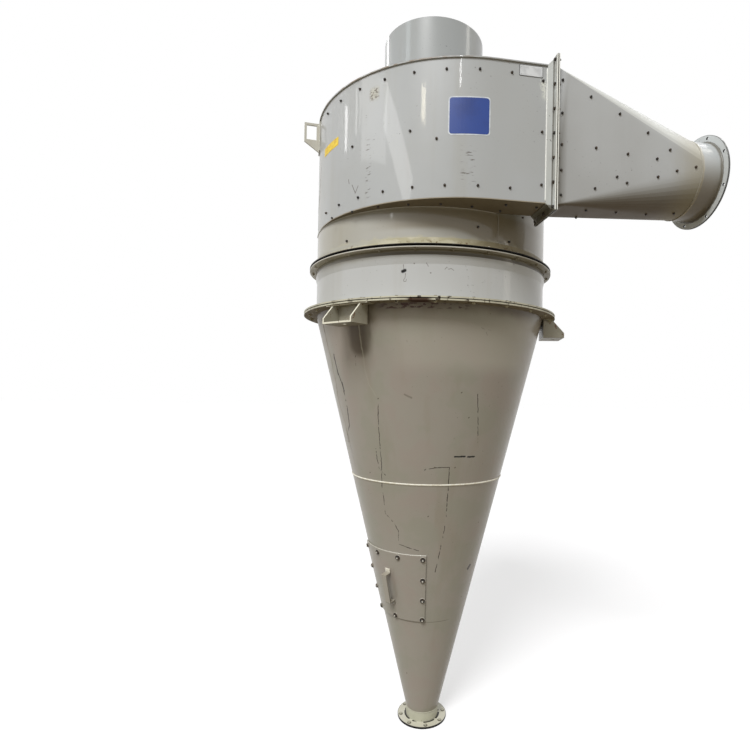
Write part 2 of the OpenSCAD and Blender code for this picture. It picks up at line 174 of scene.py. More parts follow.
def noise(tree, place, scale, detail=4.0, stretch=(1.0, 1.0, 1.0)):
    """Noise on the piece's own coordinates, which stretch can squeeze along an axis."""
    mapping = put(tree, "ShaderNodeMapping", in_Vector=place, in_Scale=stretch)
    made = put(tree, "ShaderNodeTexNoise", in_Vector=mapping.outputs[0], in_Scale=scale, in_Detail=detail)
    return made.outputs[0]


def srgb(red, green, blue):
    """A paint colour given as screen values from 0 to 255."""
    linear = []
    for value in (red, green, blue):
        part = value / 255
        linear.append(part / 12.92 if part <= 0.04045 else ((part + 0.055) / 1.055) ** 2.4)
    return (*linear, 1.0)


# %% Helpers that place a mark on the paint
def vector_maths(tree, operation, first, second=(0.0, 0.0, 0.0)):
    """One Vector Math node. Its first output is a vector and its second a number."""
    return put(tree, "ShaderNodeVectorMath", operation=operation, in_0=first, in_1=second)


def scaled(tree, vector, factor):
    return put(tree, "ShaderNodeVectorMath", operation="SCALE", in_0=vector, in_Scale=factor).outputs[0]


def part_of(tree, place, axis):
    return put(tree, "ShaderNodeSeparateXYZ", in_0=place).outputs[axis]


def bearing(tree, place, middle_x=0.0):
    """The direction from an upright axis in degrees, from -270 round the front to 90 at the back."""
    along = maths(tree, "SUBTRACT", part_of(tree, place, "X"), middle_x)
    angle = maths(tree, "ARCTAN2", along, maths(tree, "MULTIPLY", part_of(tree, place, "Y"), -1.0))
    return maths(tree, "SUBTRACT", maths(tree, "MULTIPLY", angle, math.degrees(1.0)), 90.0)


def reach(tree, place):
    """The distance from the upright axis."""
    flat = vector_maths(tree, "MULTIPLY", place, (1.0, 1.0, 0.0))
    return vector_maths(tree, "LENGTH", flat.outputs[0]).outputs[1]


def band(tree, value, low, high, soft):
    """1 where the value lies between low and high, with soft ends."""
    rise = ramp(tree, value, low - soft, low + soft)
    fall = ramp(tree, value, high + soft, high - soft)
    return maths(tree, "MULTIPLY", rise, fall)


def patch(tree, first, first_range, second, second_range, soft, second_soft):
    """1 inside a soft-edged rectangle of two values."""
    return maths(
        tree, "MULTIPLY", band(tree, first, *first_range, soft), band(tree, second, *second_range, second_soft)
    )


def line_share(tree, place, lines, half_width):
    """1 on a set of drawn lines, each a list of points, and 0 away from them."""
    nearest = None
    for points in lines:
        for start, end in zip(points, points[1:]):
            step = end - start
            offset = vector_maths(tree, "SUBTRACT", place, tuple(start)).outputs[0]
            along = vector_maths(tree, "DOT_PRODUCT", offset, tuple(step / step.length_squared)).outputs[1]
            along = maths(tree, "MINIMUM", maths(tree, "MAXIMUM", along, 0.0), 1.0)
            gap = vector_maths(tree, "DISTANCE", offset, scaled(tree, tuple(step), along)).outputs[1]
            nearest = gap if nearest is None else maths(tree, "MINIMUM", nearest, gap)
    return ramp(tree, nearest, half_width * 1.4, half_width * 0.6)


# %% [markdown]
# Marks, lamps and small pieces are all placed the same way: by a distance along the scroll's wall, or
# by a direction and a height on the barrel or the cone. Three small functions turn such a pair into a
# point in space, with the direction that stands square on the wall there.

# %% Places on the machine for marks and small pieces
def on_scroll(run, z, lift=0.0):
    """A place on the scroll's wall. run is measured along the wall from the foot of the arc."""
    if run >= 0:
        return Vector((scroll_x + run, -scroll_r - lift, z)), Vector((0, -1, 0))
    angle = -math.pi / 2 + run / scroll_r
    outward = Vector((math.cos(angle), math.sin(angle), 0))
    return Vector((scroll_x, 0, z)) + outward * (scroll_r + lift), outward


def on_barrel(degrees, z, lift=0.0, radius=None):
    """A place on the barrel, or on a ring of another radius."""
    angle = math.radians(degrees)
    outward = Vector((math.cos(angle), math.sin(angle), 0))
    return outward * ((radius or barrel_r) + lift) + Vector((0, 0, z)), outward


def on_cone(degrees, z, lift=0.0):
    """A place on the cone, with the direction that stands square on its wall."""
    angle = math.radians(degrees)
    level = Vector((math.cos(angle), math.sin(angle), 0))
    outward = (level * math.cos(cone_tilt) + Vector((0, 0, -math.sin(cone_tilt)))).normalized()
    return level * cone_radius(z) + Vector((0, 0, z)) + outward * lift, outward


def cone_lines(*lines):
    return [[on_cone(degrees, z)[0] for degrees, z in line] for line in lines]


def barrel_lines(*lines):
    return [[on_barrel(degrees, z)[0] for degrees, z in line] for line in lines]


# %% Build the world, the floor and the lamps
def white_to_eye(tree):
    """1 for rays that show a background: from the camera, off gloss and through glass."""
    path = tree.nodes.new("ShaderNodeLightPath")
    seen = maths(tree, "MAXIMUM", path.outputs["Is Camera Ray"], path.outputs["Is Glossy Ray"])
    return maths(tree, "MAXIMUM", seen, path.outputs["Is Transmission Ray"])


WORLD_LIGHT = (0.455, 0.45, 0.44, 1.0)
world = bpy.data.worlds.new("studio")
bpy.context.scene.world = world
world.use_nodes = True
world_tree = world.node_tree
sky_colour = blend_colour(world_tree, white_to_eye(world_tree), WORLD_LIGHT, (1.0, 1.0, 1.0, 1.0))
world_tree.links.new(sky_colour, world_tree.nodes["Background"].inputs["Color"])

FLOOR_SIDE = 120.0
floor_bm = bmesh.new()
bmesh.ops.create_grid(floor_bm, x_segments=1, y_segments=1, size=FLOOR_SIDE / 2)
floor_mesh = bpy.data.meshes.new("studio_floor")
floor_bm.to_mesh(floor_mesh)
floor_bm.free()
floor = bpy.data.objects.new("studio_floor", floor_mesh)
bpy.context.scene.collection.objects.link(floor)
floor_paint = bpy.data.materials.new("studio_floor")
floor_paint.use_nodes = True
floor_tree = floor_paint.node_tree
floor_shader = floor_tree.nodes["Principled BSDF"]
floor_shader.inputs["Roughness"].default_value = 1.0
floor_shader.inputs["Specular IOR Level"].default_value = 0.0
FLOOR_SEEN = (0.50, 0.50, 0.51, 1.0)
FLOOR_BOUNCE = (0.27, 0.225, 0.14, 1.0)
FLOOR_GLOW = 0.52
seen = white_to_eye(floor_tree)
floor_colour = blend_colour(floor_tree, seen, FLOOR_BOUNCE, FLOOR_SEEN)
floor_tree.links.new(floor_colour, floor_shader.inputs["Base Color"])
floor_shader.inputs["Emission Color"].default_value = (1.0, 1.0, 1.0, 1.0)
glow = maths(floor_tree, "MULTIPLY", seen, FLOOR_GLOW)
floor_tree.links.new(glow, floor_shader.inputs["Emission Strength"])
floor_mesh.materials.append(floor_paint)


def soft_lamp(name, place, aim, width, height, watts, colour=(1.0, 1.0, 1.0), lean=0.0):
    """An area lamp that no camera sees, turned towards a point. lean tips it over, in degrees."""
    data = bpy.data.lights.new(name, "AREA")
    data.shape = "RECTANGLE"
    data.size = width
    data.size_y = height
    data.energy = watts
    data.color = colour
    lamp = bpy.data.objects.new(name, data)
    bpy.context.scene.collection.objects.link(lamp)
    lamp.visible_camera = False
    turn = (Vector(aim) - Vector(place)).to_track_quat("-Z", "Y").to_matrix().to_4x4()
    lamp.matrix_world = Matrix.Translation(place) @ turn @ Matrix.Rotation(math.radians(lean), 4, "Z")
    return lamp


LAMP_DISTANCE = 5.0


def lamp_seen_at(name, spot, width, height, radiance, colour=(1.0, 1.0, 1.0), lean=0.0):
    """Hangs a lamp where the camera sees its reflection at a spot, given as (point, outward)."""
    point, outward = spot
    glance = (point - camera_place).normalized().reflect(outward)
    watts = radiance * math.pi * width * height
    return soft_lamp(name, point + glance * LAMP_DISTANCE, point, width, height, watts, colour, lean)


def sun_lamp(name, direction, strength, spread_degrees):
    """A sun, which lights the whole floor alike. A wide spread softens its shadows."""
    data = bpy.data.lights.new(name, "SUN")
    data.energy = strength
    data.angle = math.radians(spread_degrees)
    lamp = bpy.data.objects.new(name, data)
    bpy.context.scene.collection.objects.link(lamp)
    lamp.rotation_mode = "QUATERNION"
    lamp.rotation_quaternion = Vector(direction).to_track_quat("-Z", "Y")
    return lamp


sun_lamp("key_sun", (0.36, 0.62, -0.765), 2.42, 20)
lamp_seen_at("skylight_1", on_scroll(-0.716, 2.974), 0.26, 0.50, 11)
lamp_seen_at("skylight_2", on_scroll(-0.646, 3.023), 0.16, 0.50, 6)
lamp_seen_at("skylight_3", on_scroll(-0.622, 3.023), 0.10, 0.40, 6)
lamp_seen_at("large_window", on_scroll(-0.540, 2.955), 2.0, 1.0, 3.5)
lamp_seen_at("leaning_window", on_scroll(-0.415, 2.800), 0.6, 2.2, 6, lean=60)
lamp_seen_at("warm_lamp", on_scroll(-0.301, 2.985), 0.26, 0.40, 20, (1.0, 0.92, 0.70))
lamp_seen_at("tube_lamp", on_scroll(-0.153, 3.109), 0.10, 0.34, 26)
lamp_seen_at("far_lamp", on_scroll(0.215, 3.066), 0.06, 0.22, 12, (1.0, 0.98, 0.72))
collar_low, collar_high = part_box("transition_collar")
collar_r = (collar_high.z - collar_low.z) / 2
pipe_middle = (collar_low + collar_high) / 2
collar_outward = Vector((0, -0.77, 0.64))
lamp_seen_at("collar_light", (pipe_middle + collar_r * collar_outward, collar_outward), 0.9, 0.4, 4)
stub_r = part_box("outlet_stub")[1].x
lamp_seen_at("stub_light_edge", on_barrel(-165.6, 3.550, radius=stub_r), 0.60, 0.5, 7)
lamp_seen_at("stub_light_left", on_barrel(-129.5, 3.585, radius=stub_r), 0.75, 1.4, 3, (0.86, 0.97, 1.0))
lamp_seen_at("stub_light_right", on_barrel(-60.0, 3.585, radius=stub_r), 0.70, 1.4, 4, (1.0, 0.98, 0.90))
soft_lamp("window_right", (5.0, -2.4, 4.2), (0.3, -0.5, 2.5), 0.8, 3.0, 16, (1.0, 0.93, 0.82))

# %% [markdown]
# Sheet metal of this age is sprayed with thick grey enamel. The enamel is glossy, a little wavy like
# the rolled sheet below it, streaked where rain has run, scuffed in handling and dusty on every ledge,
# and its faces that look down carry painted shade. We write that once as a function and give each
# piece of the machine its own colours.


# %% Paint: build the enamel
def surface_place(tree):
    return put(tree, "ShaderNodeTexCoord").outputs["Object"]


def enamel(
    name, colour, shade, marks=None, streak=0.25, speck=0.5, underside_shade=0.35, roughness=0.3, gloss=0.5, shine=0.35,
    coat_roughness=0.05,
):
    """Glossy old paint. shade is the colour of the dirt in its streaks and of the painted shade on faces that look
    down.

    marks is a function of (tree, place, tint) that paints what this piece alone carries. Where a chip,
    dirt or painted shade leaves the tint dark, the clear gloss coat is gone too.
    """
    material = bpy.data.materials.new(name)
    material.use_nodes = True
    tree = material.node_tree
    shader = tree.nodes["Principled BSDF"]
    place = surface_place(tree)
    normal = put(tree, "ShaderNodeNewGeometry").outputs["True Normal"]
    normal_z = put(tree, "ShaderNodeSeparateXYZ", in_0=normal).outputs["Z"]

    cloud = noise(tree, place, 1.6, 3.0)
    tone = blend_colour(tree, ramp(tree, cloud, 0.35, 0.70), colour, shade)
    tint = blend_colour(tree, 0.18, colour, tone)
    runs = noise(tree, place, 9.0, 6.0, (1.0, 1.0, 0.07))
    run_share = maths(tree, "MULTIPLY", ramp(tree, runs, 0.52, 0.72), streak)
    tint = blend_colour(tree, run_share, tint, shade)
    # Painted shade: faces that look down take the shade colour.
    below = maths(tree, "MULTIPLY", ramp(tree, normal_z, -0.15, -0.95), underside_shade)
    tint = blend_colour(tree, below, tint, shade)
    chips = noise(tree, place, 95.0, 2.0)
    patches = noise(tree, place, 3.1, 2.0)
    chip_share = maths(tree, "MULTIPLY", ramp(tree, chips, 0.70, 0.74), ramp(tree, patches, 0.50, 0.62))
    tint = blend_colour(tree, maths(tree, "MULTIPLY", chip_share, speck), tint, srgb(58, 46, 34))
    if marks:
        tint = marks(tree, place, tint)
    tree.links.new(tint, shader.inputs["Base Color"])

    wear = noise(tree, place, 14.0, 5.0)
    rough = put(tree, "ShaderNodeMapRange", in_Value=wear)
    rough.inputs["To Min"].default_value = roughness - 0.06
    rough.inputs["To Max"].default_value = roughness + 0.14
    dull = maths(tree, "ADD", rough.outputs[0], maths(tree, "MULTIPLY", below, 0.35), clamp=True)
    tree.links.new(dull, shader.inputs["Roughness"])
    waves = noise(tree, place, 2.2, 1.0)
    peel = noise(tree, place, 140.0, 1.0)
    relief = maths(tree, "ADD", waves, maths(tree, "MULTIPLY", peel, 0.004))
    bump = put(tree, "ShaderNodeBump", in_Strength=0.2, in_Distance=0.02, in_Height=relief)
    tree.links.new(bump.outputs[0], shader.inputs["Normal"])
    tree.links.new(bump.outputs[0], shader.inputs["Coat Normal"])
    shader.inputs["Specular IOR Level"].default_value = shine
    if gloss > 0:
        painted = ramp(tree, put(tree, "ShaderNodeRGBToBW", in_0=tint).outputs[0], 0.02, 0.13)
        tree.links.new(maths(tree, "MULTIPLY", painted, gloss), shader.inputs["Coat Weight"])
    shader.inputs["Coat Roughness"].default_value = coat_roughness
    return material


# %% [markdown]
# The marks tell the machine's story: the scroll's wall is rubbed in two places, dust lies on the
# ledges, rust creeps out of the bolted rings and the cone is scratched. Some marks are painted light
# instead: painted shade under ledges and in recesses, and painted highlights on edges and upper faces.
# Each mark is a soft shape on the piece's own coordinates, so it stays in its place from every side.


# %% Paint: the marks of each part
OLD_BROWN = srgb(66, 52, 36)
RUST = srgb(112, 70, 38)
SHED_SHADE = srgb(118, 106, 80)
DUST_CREAM = srgb(180, 175, 150)
HEAD_GREY = srgb(167, 170, 172)


def wobbled(tree, place, size=0.004, scale=60.0):
    """The place moved about a little, so that a drawn line looks scratched by hand."""
    stir = put(tree, "ShaderNodeTexNoise", in_Vector=place, in_Scale=scale).outputs["Color"]
    shift = vector_maths(tree, "SUBTRACT", stir, (0.5, 0.5, 0.5)).outputs[0]
    return vector_maths(tree, "ADD", place, scaled(tree, shift, size * 2)).outputs[0]


def scroll_marks(tree, place, tint):
    """Two rubbed strips and a smudge on the scroll's curved wall, painted shade on its far end, and rust along the
    roof's edge.
    """
    run = maths(tree, "ADD", bearing(tree, place, scroll_x), 90.0)
    run = maths(tree, "MULTIPLY", run, math.radians(1.0) * scroll_r)
    z = part_of(tree, place, "Z")
    dashes = ramp(tree, noise(tree, place, 70.0, 3.0, (0.35, 0.35, 1.6)), 0.56, 0.66)
    rubs = patch(tree, run, (-0.578, -0.552), z, (2.62, 2.87), 0.008, 0.03)
    rubs = maths(tree, "MAXIMUM", rubs, patch(tree, run, (-0.139, -0.082), z, (2.64, 2.79), 0.012, 0.03))
    tint = blend_colour(tree, maths(tree, "MULTIPLY", maths(tree, "MULTIPLY", rubs, dashes), 0.75), tint, OLD_BROWN)
    smudge = patch(tree, run, (-0.560, -0.515), z, (3.045, 3.095), 0.010, 0.012)
    tint = blend_colour(tree, maths(tree, "MULTIPLY", smudge, 0.35), tint, srgb(168, 158, 110))
    blots = ramp(tree, noise(tree, place, 80.0, 5.0, (1.0, 1.0, 1.5)), 0.48, 0.58)
    tint = blend_colour(tree, maths(tree, "MULTIPLY", maths(tree, "MULTIPLY", smudge, blots), 0.95), tint, OLD_BROWN)
    # Painted shade on the far end of the wall.
    painted_end_shade = maths(tree, "MULTIPLY", ramp(tree, run, -0.88, -1.04), 0.35)
    tint = blend_colour(tree, painted_end_shade, tint, srgb(140, 138, 128))
    strokes = [
        [on_scroll(*spot)[0] for spot in line] for line in (
            ((-0.664, 2.699), (-0.643, 2.660)), ((-0.624, 2.685), (-0.643, 2.655)), ((-0.69, 2.73), (-0.685, 2.71)),
        )
    ]
    tint = blend_colour(tree, maths(tree, "MULTIPLY", line_share(tree, place, strokes, 0.002), 0.7), tint, OLD_BROWN)
    ledge = maths(tree, "MULTIPLY", ramp(tree, z, roof_foot - 0.008, roof_foot), ramp(tree, noise(tree, place, 30.0), 0.5, 0.65))
    return blend_colour(tree, maths(tree, "MULTIPLY", ledge, 0.35), tint, RUST)


def neck_marks(tree, place, tint):
    """Painted brown shade under the scroll and on the left side, and a strip of cream dust above the ring."""
    z = part_of(tree, place, "Z")
    angle = bearing(tree, place)
    drop = maths(tree, "MULTIPLY", ramp(tree, angle, -94.0, -64.0), 0.075)
    above_foot = ramp(tree, maths(tree, "ADD", z, drop), 2.472, 2.500)
    under_scroll = maths(tree, "MULTIPLY", ramp(tree, angle, -134.0, -96.0), ramp(tree, angle, -30.0, -52.0))
    shade = maths(tree, "MULTIPLY", maths(tree, "MULTIPLY", under_scroll, above_foot), ramp(tree, z, 2.60, 2.56))
    tint = blend_colour(tree, maths(tree, "MULTIPLY", shade, 0.72), tint, SHED_SHADE)
    # Painted shade on the left side.
    painted_side_shade = maths(tree, "MULTIPLY", band(tree, angle, -168.0, -134.0, 10.0), 0.35)
    tint = blend_colour(tree, painted_side_shade, tint, srgb(150, 144, 124))
    tint = blend_colour(tree, maths(tree, "MULTIPLY", ramp(tree, z, 2.58, 2.72), 0.85), tint, HEAD_GREY)
    stir = maths(tree, "MULTIPLY", noise(tree, place, 22.0, 6.0), 0.05)
    edge = ramp(tree, maths(tree, "ADD", z, stir), 2.482, 2.466)
    return blend_colour(tree, maths(tree, "MULTIPLY", edge, 0.55), tint, DUST_CREAM)


def spacer_marks(tree, place, tint):
    """A deep chip with a run and a loop below it, hair scratches, painted shade on the left side, and under the ring's
    foot brown dirt with painted shade, then soft painted shade below it.
    """
    rough_place = wobbled(tree, place, 0.003)
    chip = line_share(tree, rough_place, barrel_lines([(-111.8, 2.297), (-110.7, 2.302)]), 0.0072)
    tint = blend_colour(tree, chip, tint, srgb(10, 8, 6))
    scratches = barrel_lines(
        [(-111.5, 2.328), (-111.3, 2.308)],
        [(-110.6, 2.289), (-110.6, 2.269), (-111.3, 2.262), (-111.1, 2.252), (-110.4, 2.252), (-110.0, 2.263)],
        [(-94.4, 2.307), (-93.6, 2.317), (-92.9, 2.309), (-91.8, 2.313), (-90.7, 2.304)],
        [(-102.4, 2.342), (-101.1, 2.319)],
    )
    hair = maths(tree, "MULTIPLY", line_share(tree, rough_place, scratches, 0.0014), 0.6)
    tint = blend_colour(tree, hair, tint, OLD_BROWN)
    dots = barrel_lines(*[[(a, z), (a + 0.1, z)] for a, z in ((-100.2, 2.29), (-100.6, 2.356), (-107.0, 2.331))])
    tint = blend_colour(tree, maths(tree, "MULTIPLY", line_share(tree, place, dots, 0.003), 0.6), tint, OLD_BROWN)
    z = part_of(tree, place, "Z")
    angle = bearing(tree, place)
    # Painted soft shade below the ring's foot, stronger on the left.
    dirt = maths(tree, "ADD", z, maths(tree, "MULTIPLY", noise(tree, place, 12.0), 0.02))
    skim_shade_share = maths(tree, "ADD", maths(tree, "MULTIPLY", band(tree, angle, -230.0, -124.0, 12.0), 0.35), 0.12)
    tint = blend_colour(tree, maths(tree, "MULTIPLY", ramp(tree, dirt, 2.345, 2.390), skim_shade_share), tint, srgb(140, 134, 114))
    # Painted shade on the left side.
    painted_side_shade = maths(tree, "MULTIPLY", band(tree, angle, -168.0, -148.0, 10.0), 0.35)
    tint = blend_colour(tree, painted_side_shade, tint, srgb(146, 144, 134))
    # Brown dirt and painted shade on the ring's leg below the flange, darker in its lower part and weaker on the left.
    corner = ramp(tree, z, ring_1_foot - 0.0315, ring_1_foot - 0.0290)
    depth = blend_colour(tree, ramp(tree, z, ring_1_foot - 0.022, ring_1_foot - 0.012), srgb(70, 62, 42), srgb(106, 98, 74))
    more = maths(tree, "ADD", maths(tree, "MULTIPLY", band(tree, angle, -131.0, 50.0, 19.0), 0.5), 0.45)
    return blend_colour(tree, maths(tree, "MULTIPLY", corner, more), tint, depth)


def dusty_ring_marks(tree, place, tint):
    """Rust specks in the dust above the seal, the strip browner to the right and the back, and the seal's black over
    the lower edge, widened with painted shade.
    """
    z = part_of(tree, place, "Z")
    angle = bearing(tree, place)
    thick = ramp(tree, noise(tree, place, 16.0, 5.0, (1.0, 1.0, 2.0)), 0.46, 0.62)
    tint = blend_colour(tree, maths(tree, "MULTIPLY", thick, 0.55), tint, srgb(206, 202, 184))
    stir = maths(tree, "MULTIPLY", noise(tree, place, 30.0, 5.0), 0.02)
    bare = ramp(tree, maths(tree, "ADD", z, stir), ring_1_top + 0.022, ring_1_top + 0.036)
    bare = maths(tree, "MULTIPLY", bare, band(tree, angle, -230.0, -123.0, 11.0))
    tint = blend_colour(tree, bare, tint, srgb(168, 167, 158))
    # The strip is browner to the right and the back.
    brown = maths(tree, "MULTIPLY", band(tree, angle, -82.0, 50.0, 16.0), 0.6)
    tint = blend_colour(tree, brown, tint, srgb(118, 102, 70))
    specks = ramp(tree, noise(tree, place, 90.0, 4.0), 0.53, 0.58)
    low = ramp(tree, z, ring_1_top + 0.034, ring_1_top + 0.014)
    some = ramp(tree, noise(tree, place, 9.0, 2.0), 0.42, 0.56)
    specks = maths(tree, "MULTIPLY", maths(tree, "MULTIPLY", specks, some), low)
    tint = blend_colour(tree, maths(tree, "MULTIPLY", specks, 0.85), tint, srgb(98, 66, 40))
    # The seal's black over the lower edge, widened with painted shade.
    return blend_colour(tree, ramp(tree, z, ring_1_top + 0.0046, ring_1_top + 0.0036), tint, srgb(12, 8, 5))


def ring_marks(tree, place, tint):
    """Rust and black gaps where the two lower rings meet, worst near the middle of the front."""
    angle = bearing(tree, place)
    spots = ramp(tree, noise(tree, place, 48.0, 6.0, (1.0, 1.0, 0.6)), 0.56, 0.62)
    near = maths(tree, "ADD", maths(tree, "MULTIPLY", band(tree, angle, -124.0, -72.0, 22.0), 0.6), 0.35)
    normal = put(tree, "ShaderNodeNewGeometry").outputs["True Normal"]
    near = maths(tree, "MULTIPLY", near, ramp(tree, part_of(tree, normal, "Z"), 1.4, 0.4))
    tint = blend_colour(tree, maths(tree, "MULTIPLY", spots, near), tint, srgb(48, 36, 24))
    low = ramp(tree, part_of(tree, place, "Z"), ring_2_foot + 0.0125, ring_2_foot + 0.0105)
    smear = maths(tree, "MULTIPLY", band(tree, angle, -108.5, -100.0, 1.6), low)
    return blend_colour(tree, maths(tree, "MULTIPLY", smear, 0.95), tint, srgb(56, 34, 22))


def upper_ring_marks(tree, place, tint):
    """The seal's black on the top edge, widened with painted shade, and brown dirt with painted shade below the flange,
    weaker on the left.
    """
    z = part_of(tree, place, "Z")
    # Brown dirt and painted shade below the flange, weaker on the left.
    below = ramp(tree, z, ring_1_foot - 0.0044, ring_1_foot - 0.0054)
    more = maths(tree, "ADD", maths(tree, "MULTIPLY", band(tree, bearing(tree, place), -129.0, 50.0, 21.0), 0.65), 0.08)
    tint = blend_colour(tree, maths(tree, "MULTIPLY", below, more), tint, srgb(112, 103, 82))
    # The seal's black on the top edge, widened with painted shade.
    return blend_colour(tree, ramp(tree, z, ring_1_foot - 0.0010, ring_1_foot - 0.0004), tint, srgb(10, 9, 8))


def frame_marks(tree, place, tint):
    """White rubbed edges with a painted highlight, painted shade with dirt streaks on the bolted faces, painted shadow
    in the inner corners and painted shade on the lower leg, on the inlet's frames.
    """
    normal = put(tree, "ShaderNodeNewGeometry").outputs["True Normal"]
    # Painted shade with dirt streaks on the bolted faces that look towards -X.
    face = ramp(tree, part_of(tree, normal, "X"), -0.6, -0.9)
    dirty = maths(tree, "MULTIPLY", ramp(tree, noise(tree, place, 22.0, 4.0, (1, 1, 0.15)), 0.35, 0.65), 0.7)
    tint = blend_colour(tree, maths(tree, "MULTIPLY", face, dirty), tint, srgb(150, 148, 140))
    y = part_of(tree, place, "Y")
    # Rubbed paint and a painted highlight on the frames' front edges.
    rubbed = ramp(tree, y, frame_low.y + 0.0022, frame_low.y + 0.0008)
    tint = blend_colour(tree, maths(tree, "MULTIPLY", rubbed, 0.85), tint, srgb(232, 232, 226))
    # Painted shadow in the inner corner next to the bolted face.
    corner = maths(tree, "MULTIPLY", ramp(tree, y, frame_corner_y - 0.0035, frame_corner_y - 0.0015), ramp(tree, y, frame_corner_y + 0.0035, frame_corner_y + 0.0015))
    near_face = maths(tree, "MULTIPLY", ramp(tree, part_of(tree, place, "X"), joint_x - 0.011, joint_x - 0.009), corner)
    tint = blend_colour(tree, maths(tree, "MULTIPLY", near_face, 0.8), tint, srgb(84, 80, 70))
    # Painted shade on the lower leg under the scroll's floor.
    z = part_of(tree, place, "Z")
    mitre = maths(tree, "SUBTRACT", y, z)
    below_mitre = ramp(tree, mitre, frame_low.y - frame_low.z - 0.001, frame_low.y - frame_low.z + 0.004)
    foot = maths(tree, "MULTIPLY", below_mitre, ramp(tree, z, floor_foot + 0.003, floor_foot - 0.003))
    return blend_colour(tree, maths(tree, "MULTIPLY", foot, 0.8), tint, srgb(72, 65, 44))


def round_flange_marks(tree, place, tint):
    """Painted black shade in the bolt holes, a dark rim and a dark ragged band round the weld on the pipe's flange."""
    normal = put(tree, "ShaderNodeNewGeometry").outputs["True Normal"]
    # Painted shade: the walls of the bolt holes are painted black.
    wall = ramp(tree, maths(tree, "ABSOLUTE", part_of(tree, normal, "X")), 0.7, 0.4)
    from_pipe = vector_maths(tree, "SUBTRACT", place, tuple(pipe_middle)).outputs[0]
    across = vector_maths(tree, "MULTIPLY", from_pipe, (0.0, 1.0, 1.0)).outputs[0]
    out = vector_maths(tree, "LENGTH", across).outputs[1]
    hole = maths(tree, "MULTIPLY", wall, band(tree, out, collar_r + 0.006, round_flange_r - 0.003, 0.001))
    tint = blend_colour(tree, hole, tint, srgb(10, 9, 8))
    rim = maths(tree, "MULTIPLY", ramp(tree, out, round_flange_r - 0.0022, round_flange_r - 0.0010), 0.9)
    tint = blend_colour(tree, rim, tint, srgb(40, 38, 34))
    # A darker ragged band round the weld.
    ragged = maths(tree, "ADD", out, maths(tree, "MULTIPLY", noise(tree, place, 60.0, 4.0), 0.010))
    weld_dark_band = maths(tree, "MULTIPLY", ramp(tree, ragged, collar_r + 0.014, collar_r + 0.010), 0.8)
    return blend_colour(tree, weld_dark_band, tint, srgb(74, 68, 54))


def transition_marks(tree, place, tint):
    """A painted highlight on the upper fold, and tan dust where the pipe's collar begins."""
    normal = put(tree, "ShaderNodeNewGeometry").outputs["True Normal"]
    # Painted highlight: faces that look up are paler.
    upper = ramp(tree, part_of(tree, normal, "Z"), 0.04, 0.28)
    tint = blend_colour(tree, maths(tree, "MULTIPLY", upper, 0.85), tint, srgb(206, 208, 205))
    x = maths(tree, "ADD", part_of(tree, place, "X"), maths(tree, "MULTIPLY", noise(tree, place, 30.0, 4.0), 0.03))
    tan = maths(tree, "MULTIPLY", ramp(tree, x, collar_low.x - 0.14, collar_low.x + 0.015), 0.5)
    return blend_colour(tree, tan, tint, srgb(148, 139, 112))


def collar_marks(tree, place, tint):
    """Tan dust along the weld at the collar's start, a dark ragged band at its flange end, and painted shade on its
    lower half.
    """
    # Painted shade on the lower half.
    low = maths(tree, "MULTIPLY", ramp(tree, part_of(tree, place, "Z"), pipe_middle.z + 0.07, pipe_middle.z - 0.10), 0.8)
    tint = blend_colour(tree, low, tint, srgb(98, 86, 62))
    x = maths(tree, "ADD", part_of(tree, place, "X"), maths(tree, "MULTIPLY", noise(tree, place, 40.0, 4.0), 0.012))
    near = maths(tree, "MULTIPLY", ramp(tree, x, collar_high.x - 0.010, collar_high.x + 0.002), 0.7)
    tint = blend_colour(tree, near, tint, srgb(92, 84, 66))
    tan = maths(tree, "MULTIPLY", ramp(tree, x, collar_low.x + 0.020, collar_low.x + 0.008), 0.5)
    return blend_colour(tree, tan, tint, srgb(186, 172, 136))


def bracket_marks(tree, place, tint):
    """A painted highlight on the edges that look outwards, painted shade in the recess, and rust."""
    normal = put(tree, "ShaderNodeNewGeometry").outputs["True Normal"]
    level = vector_maths(tree, "NORMALIZE", vector_maths(tree, "MULTIPLY", place, (1.0, 1.0, 0.0)).outputs[0])
    facing = vector_maths(tree, "DOT_PRODUCT", normal, level.outputs[0]).outputs[1]
    out = reach(tree, place)
    # Painted shade in the recess.
    deep = maths(tree, "MULTIPLY", ramp(tree, out, barrel_r + 0.045, barrel_r + 0.005), 0.25)
    tint = blend_colour(tree, deep, tint, srgb(126, 116, 96))
    # Painted highlight on the edges that look outwards.
    edge = maths(tree, "MULTIPLY", ramp(tree, facing, 0.45, 0.6), ramp(tree, out, barrel_r + 0.028, barrel_r + 0.034))
    tint = blend_colour(tree, maths(tree, "MULTIPLY", edge, 0.85), tint, srgb(228, 225, 208))
    rust = ramp(tree, noise(tree, place, 42.0, 5.0), 0.62, 0.68)
    return blend_colour(tree, maths(tree, "MULTIPLY", rust, 0.8), tint, RUST)


def handle_marks(tree, place, tint):
    """A painted highlight on the handle's upper end, painted shade on its side that faces +X, and a darker lower end.
    """
    normal = put(tree, "ShaderNodeNewGeometry").outputs["True Normal"]
    # Painted highlight on the top end.
    upper = maths(tree, "MULTIPLY", ramp(tree, part_of(tree, place, "Z"), handle_top - 0.022, handle_top - 0.012), 0.85)
    tint = blend_colour(tree, upper, tint, srgb(228, 224, 210))
    # Painted shade on the side that faces +X.
    sides = maths(tree, "MULTIPLY", ramp(tree, part_of(tree, normal, "X"), 0.2, 0.6), 0.6)
    tint = blend_colour(tree, sides, tint, srgb(84, 76, 58))
    # Darker towards the lower end.
    lower = maths(tree, "MULTIPLY", ramp(tree, part_of(tree, place, "Z"), handle_foot + 0.022, handle_foot + 0.010), 0.6)
    return blend_colour(tree, lower, tint, srgb(84, 76, 60))


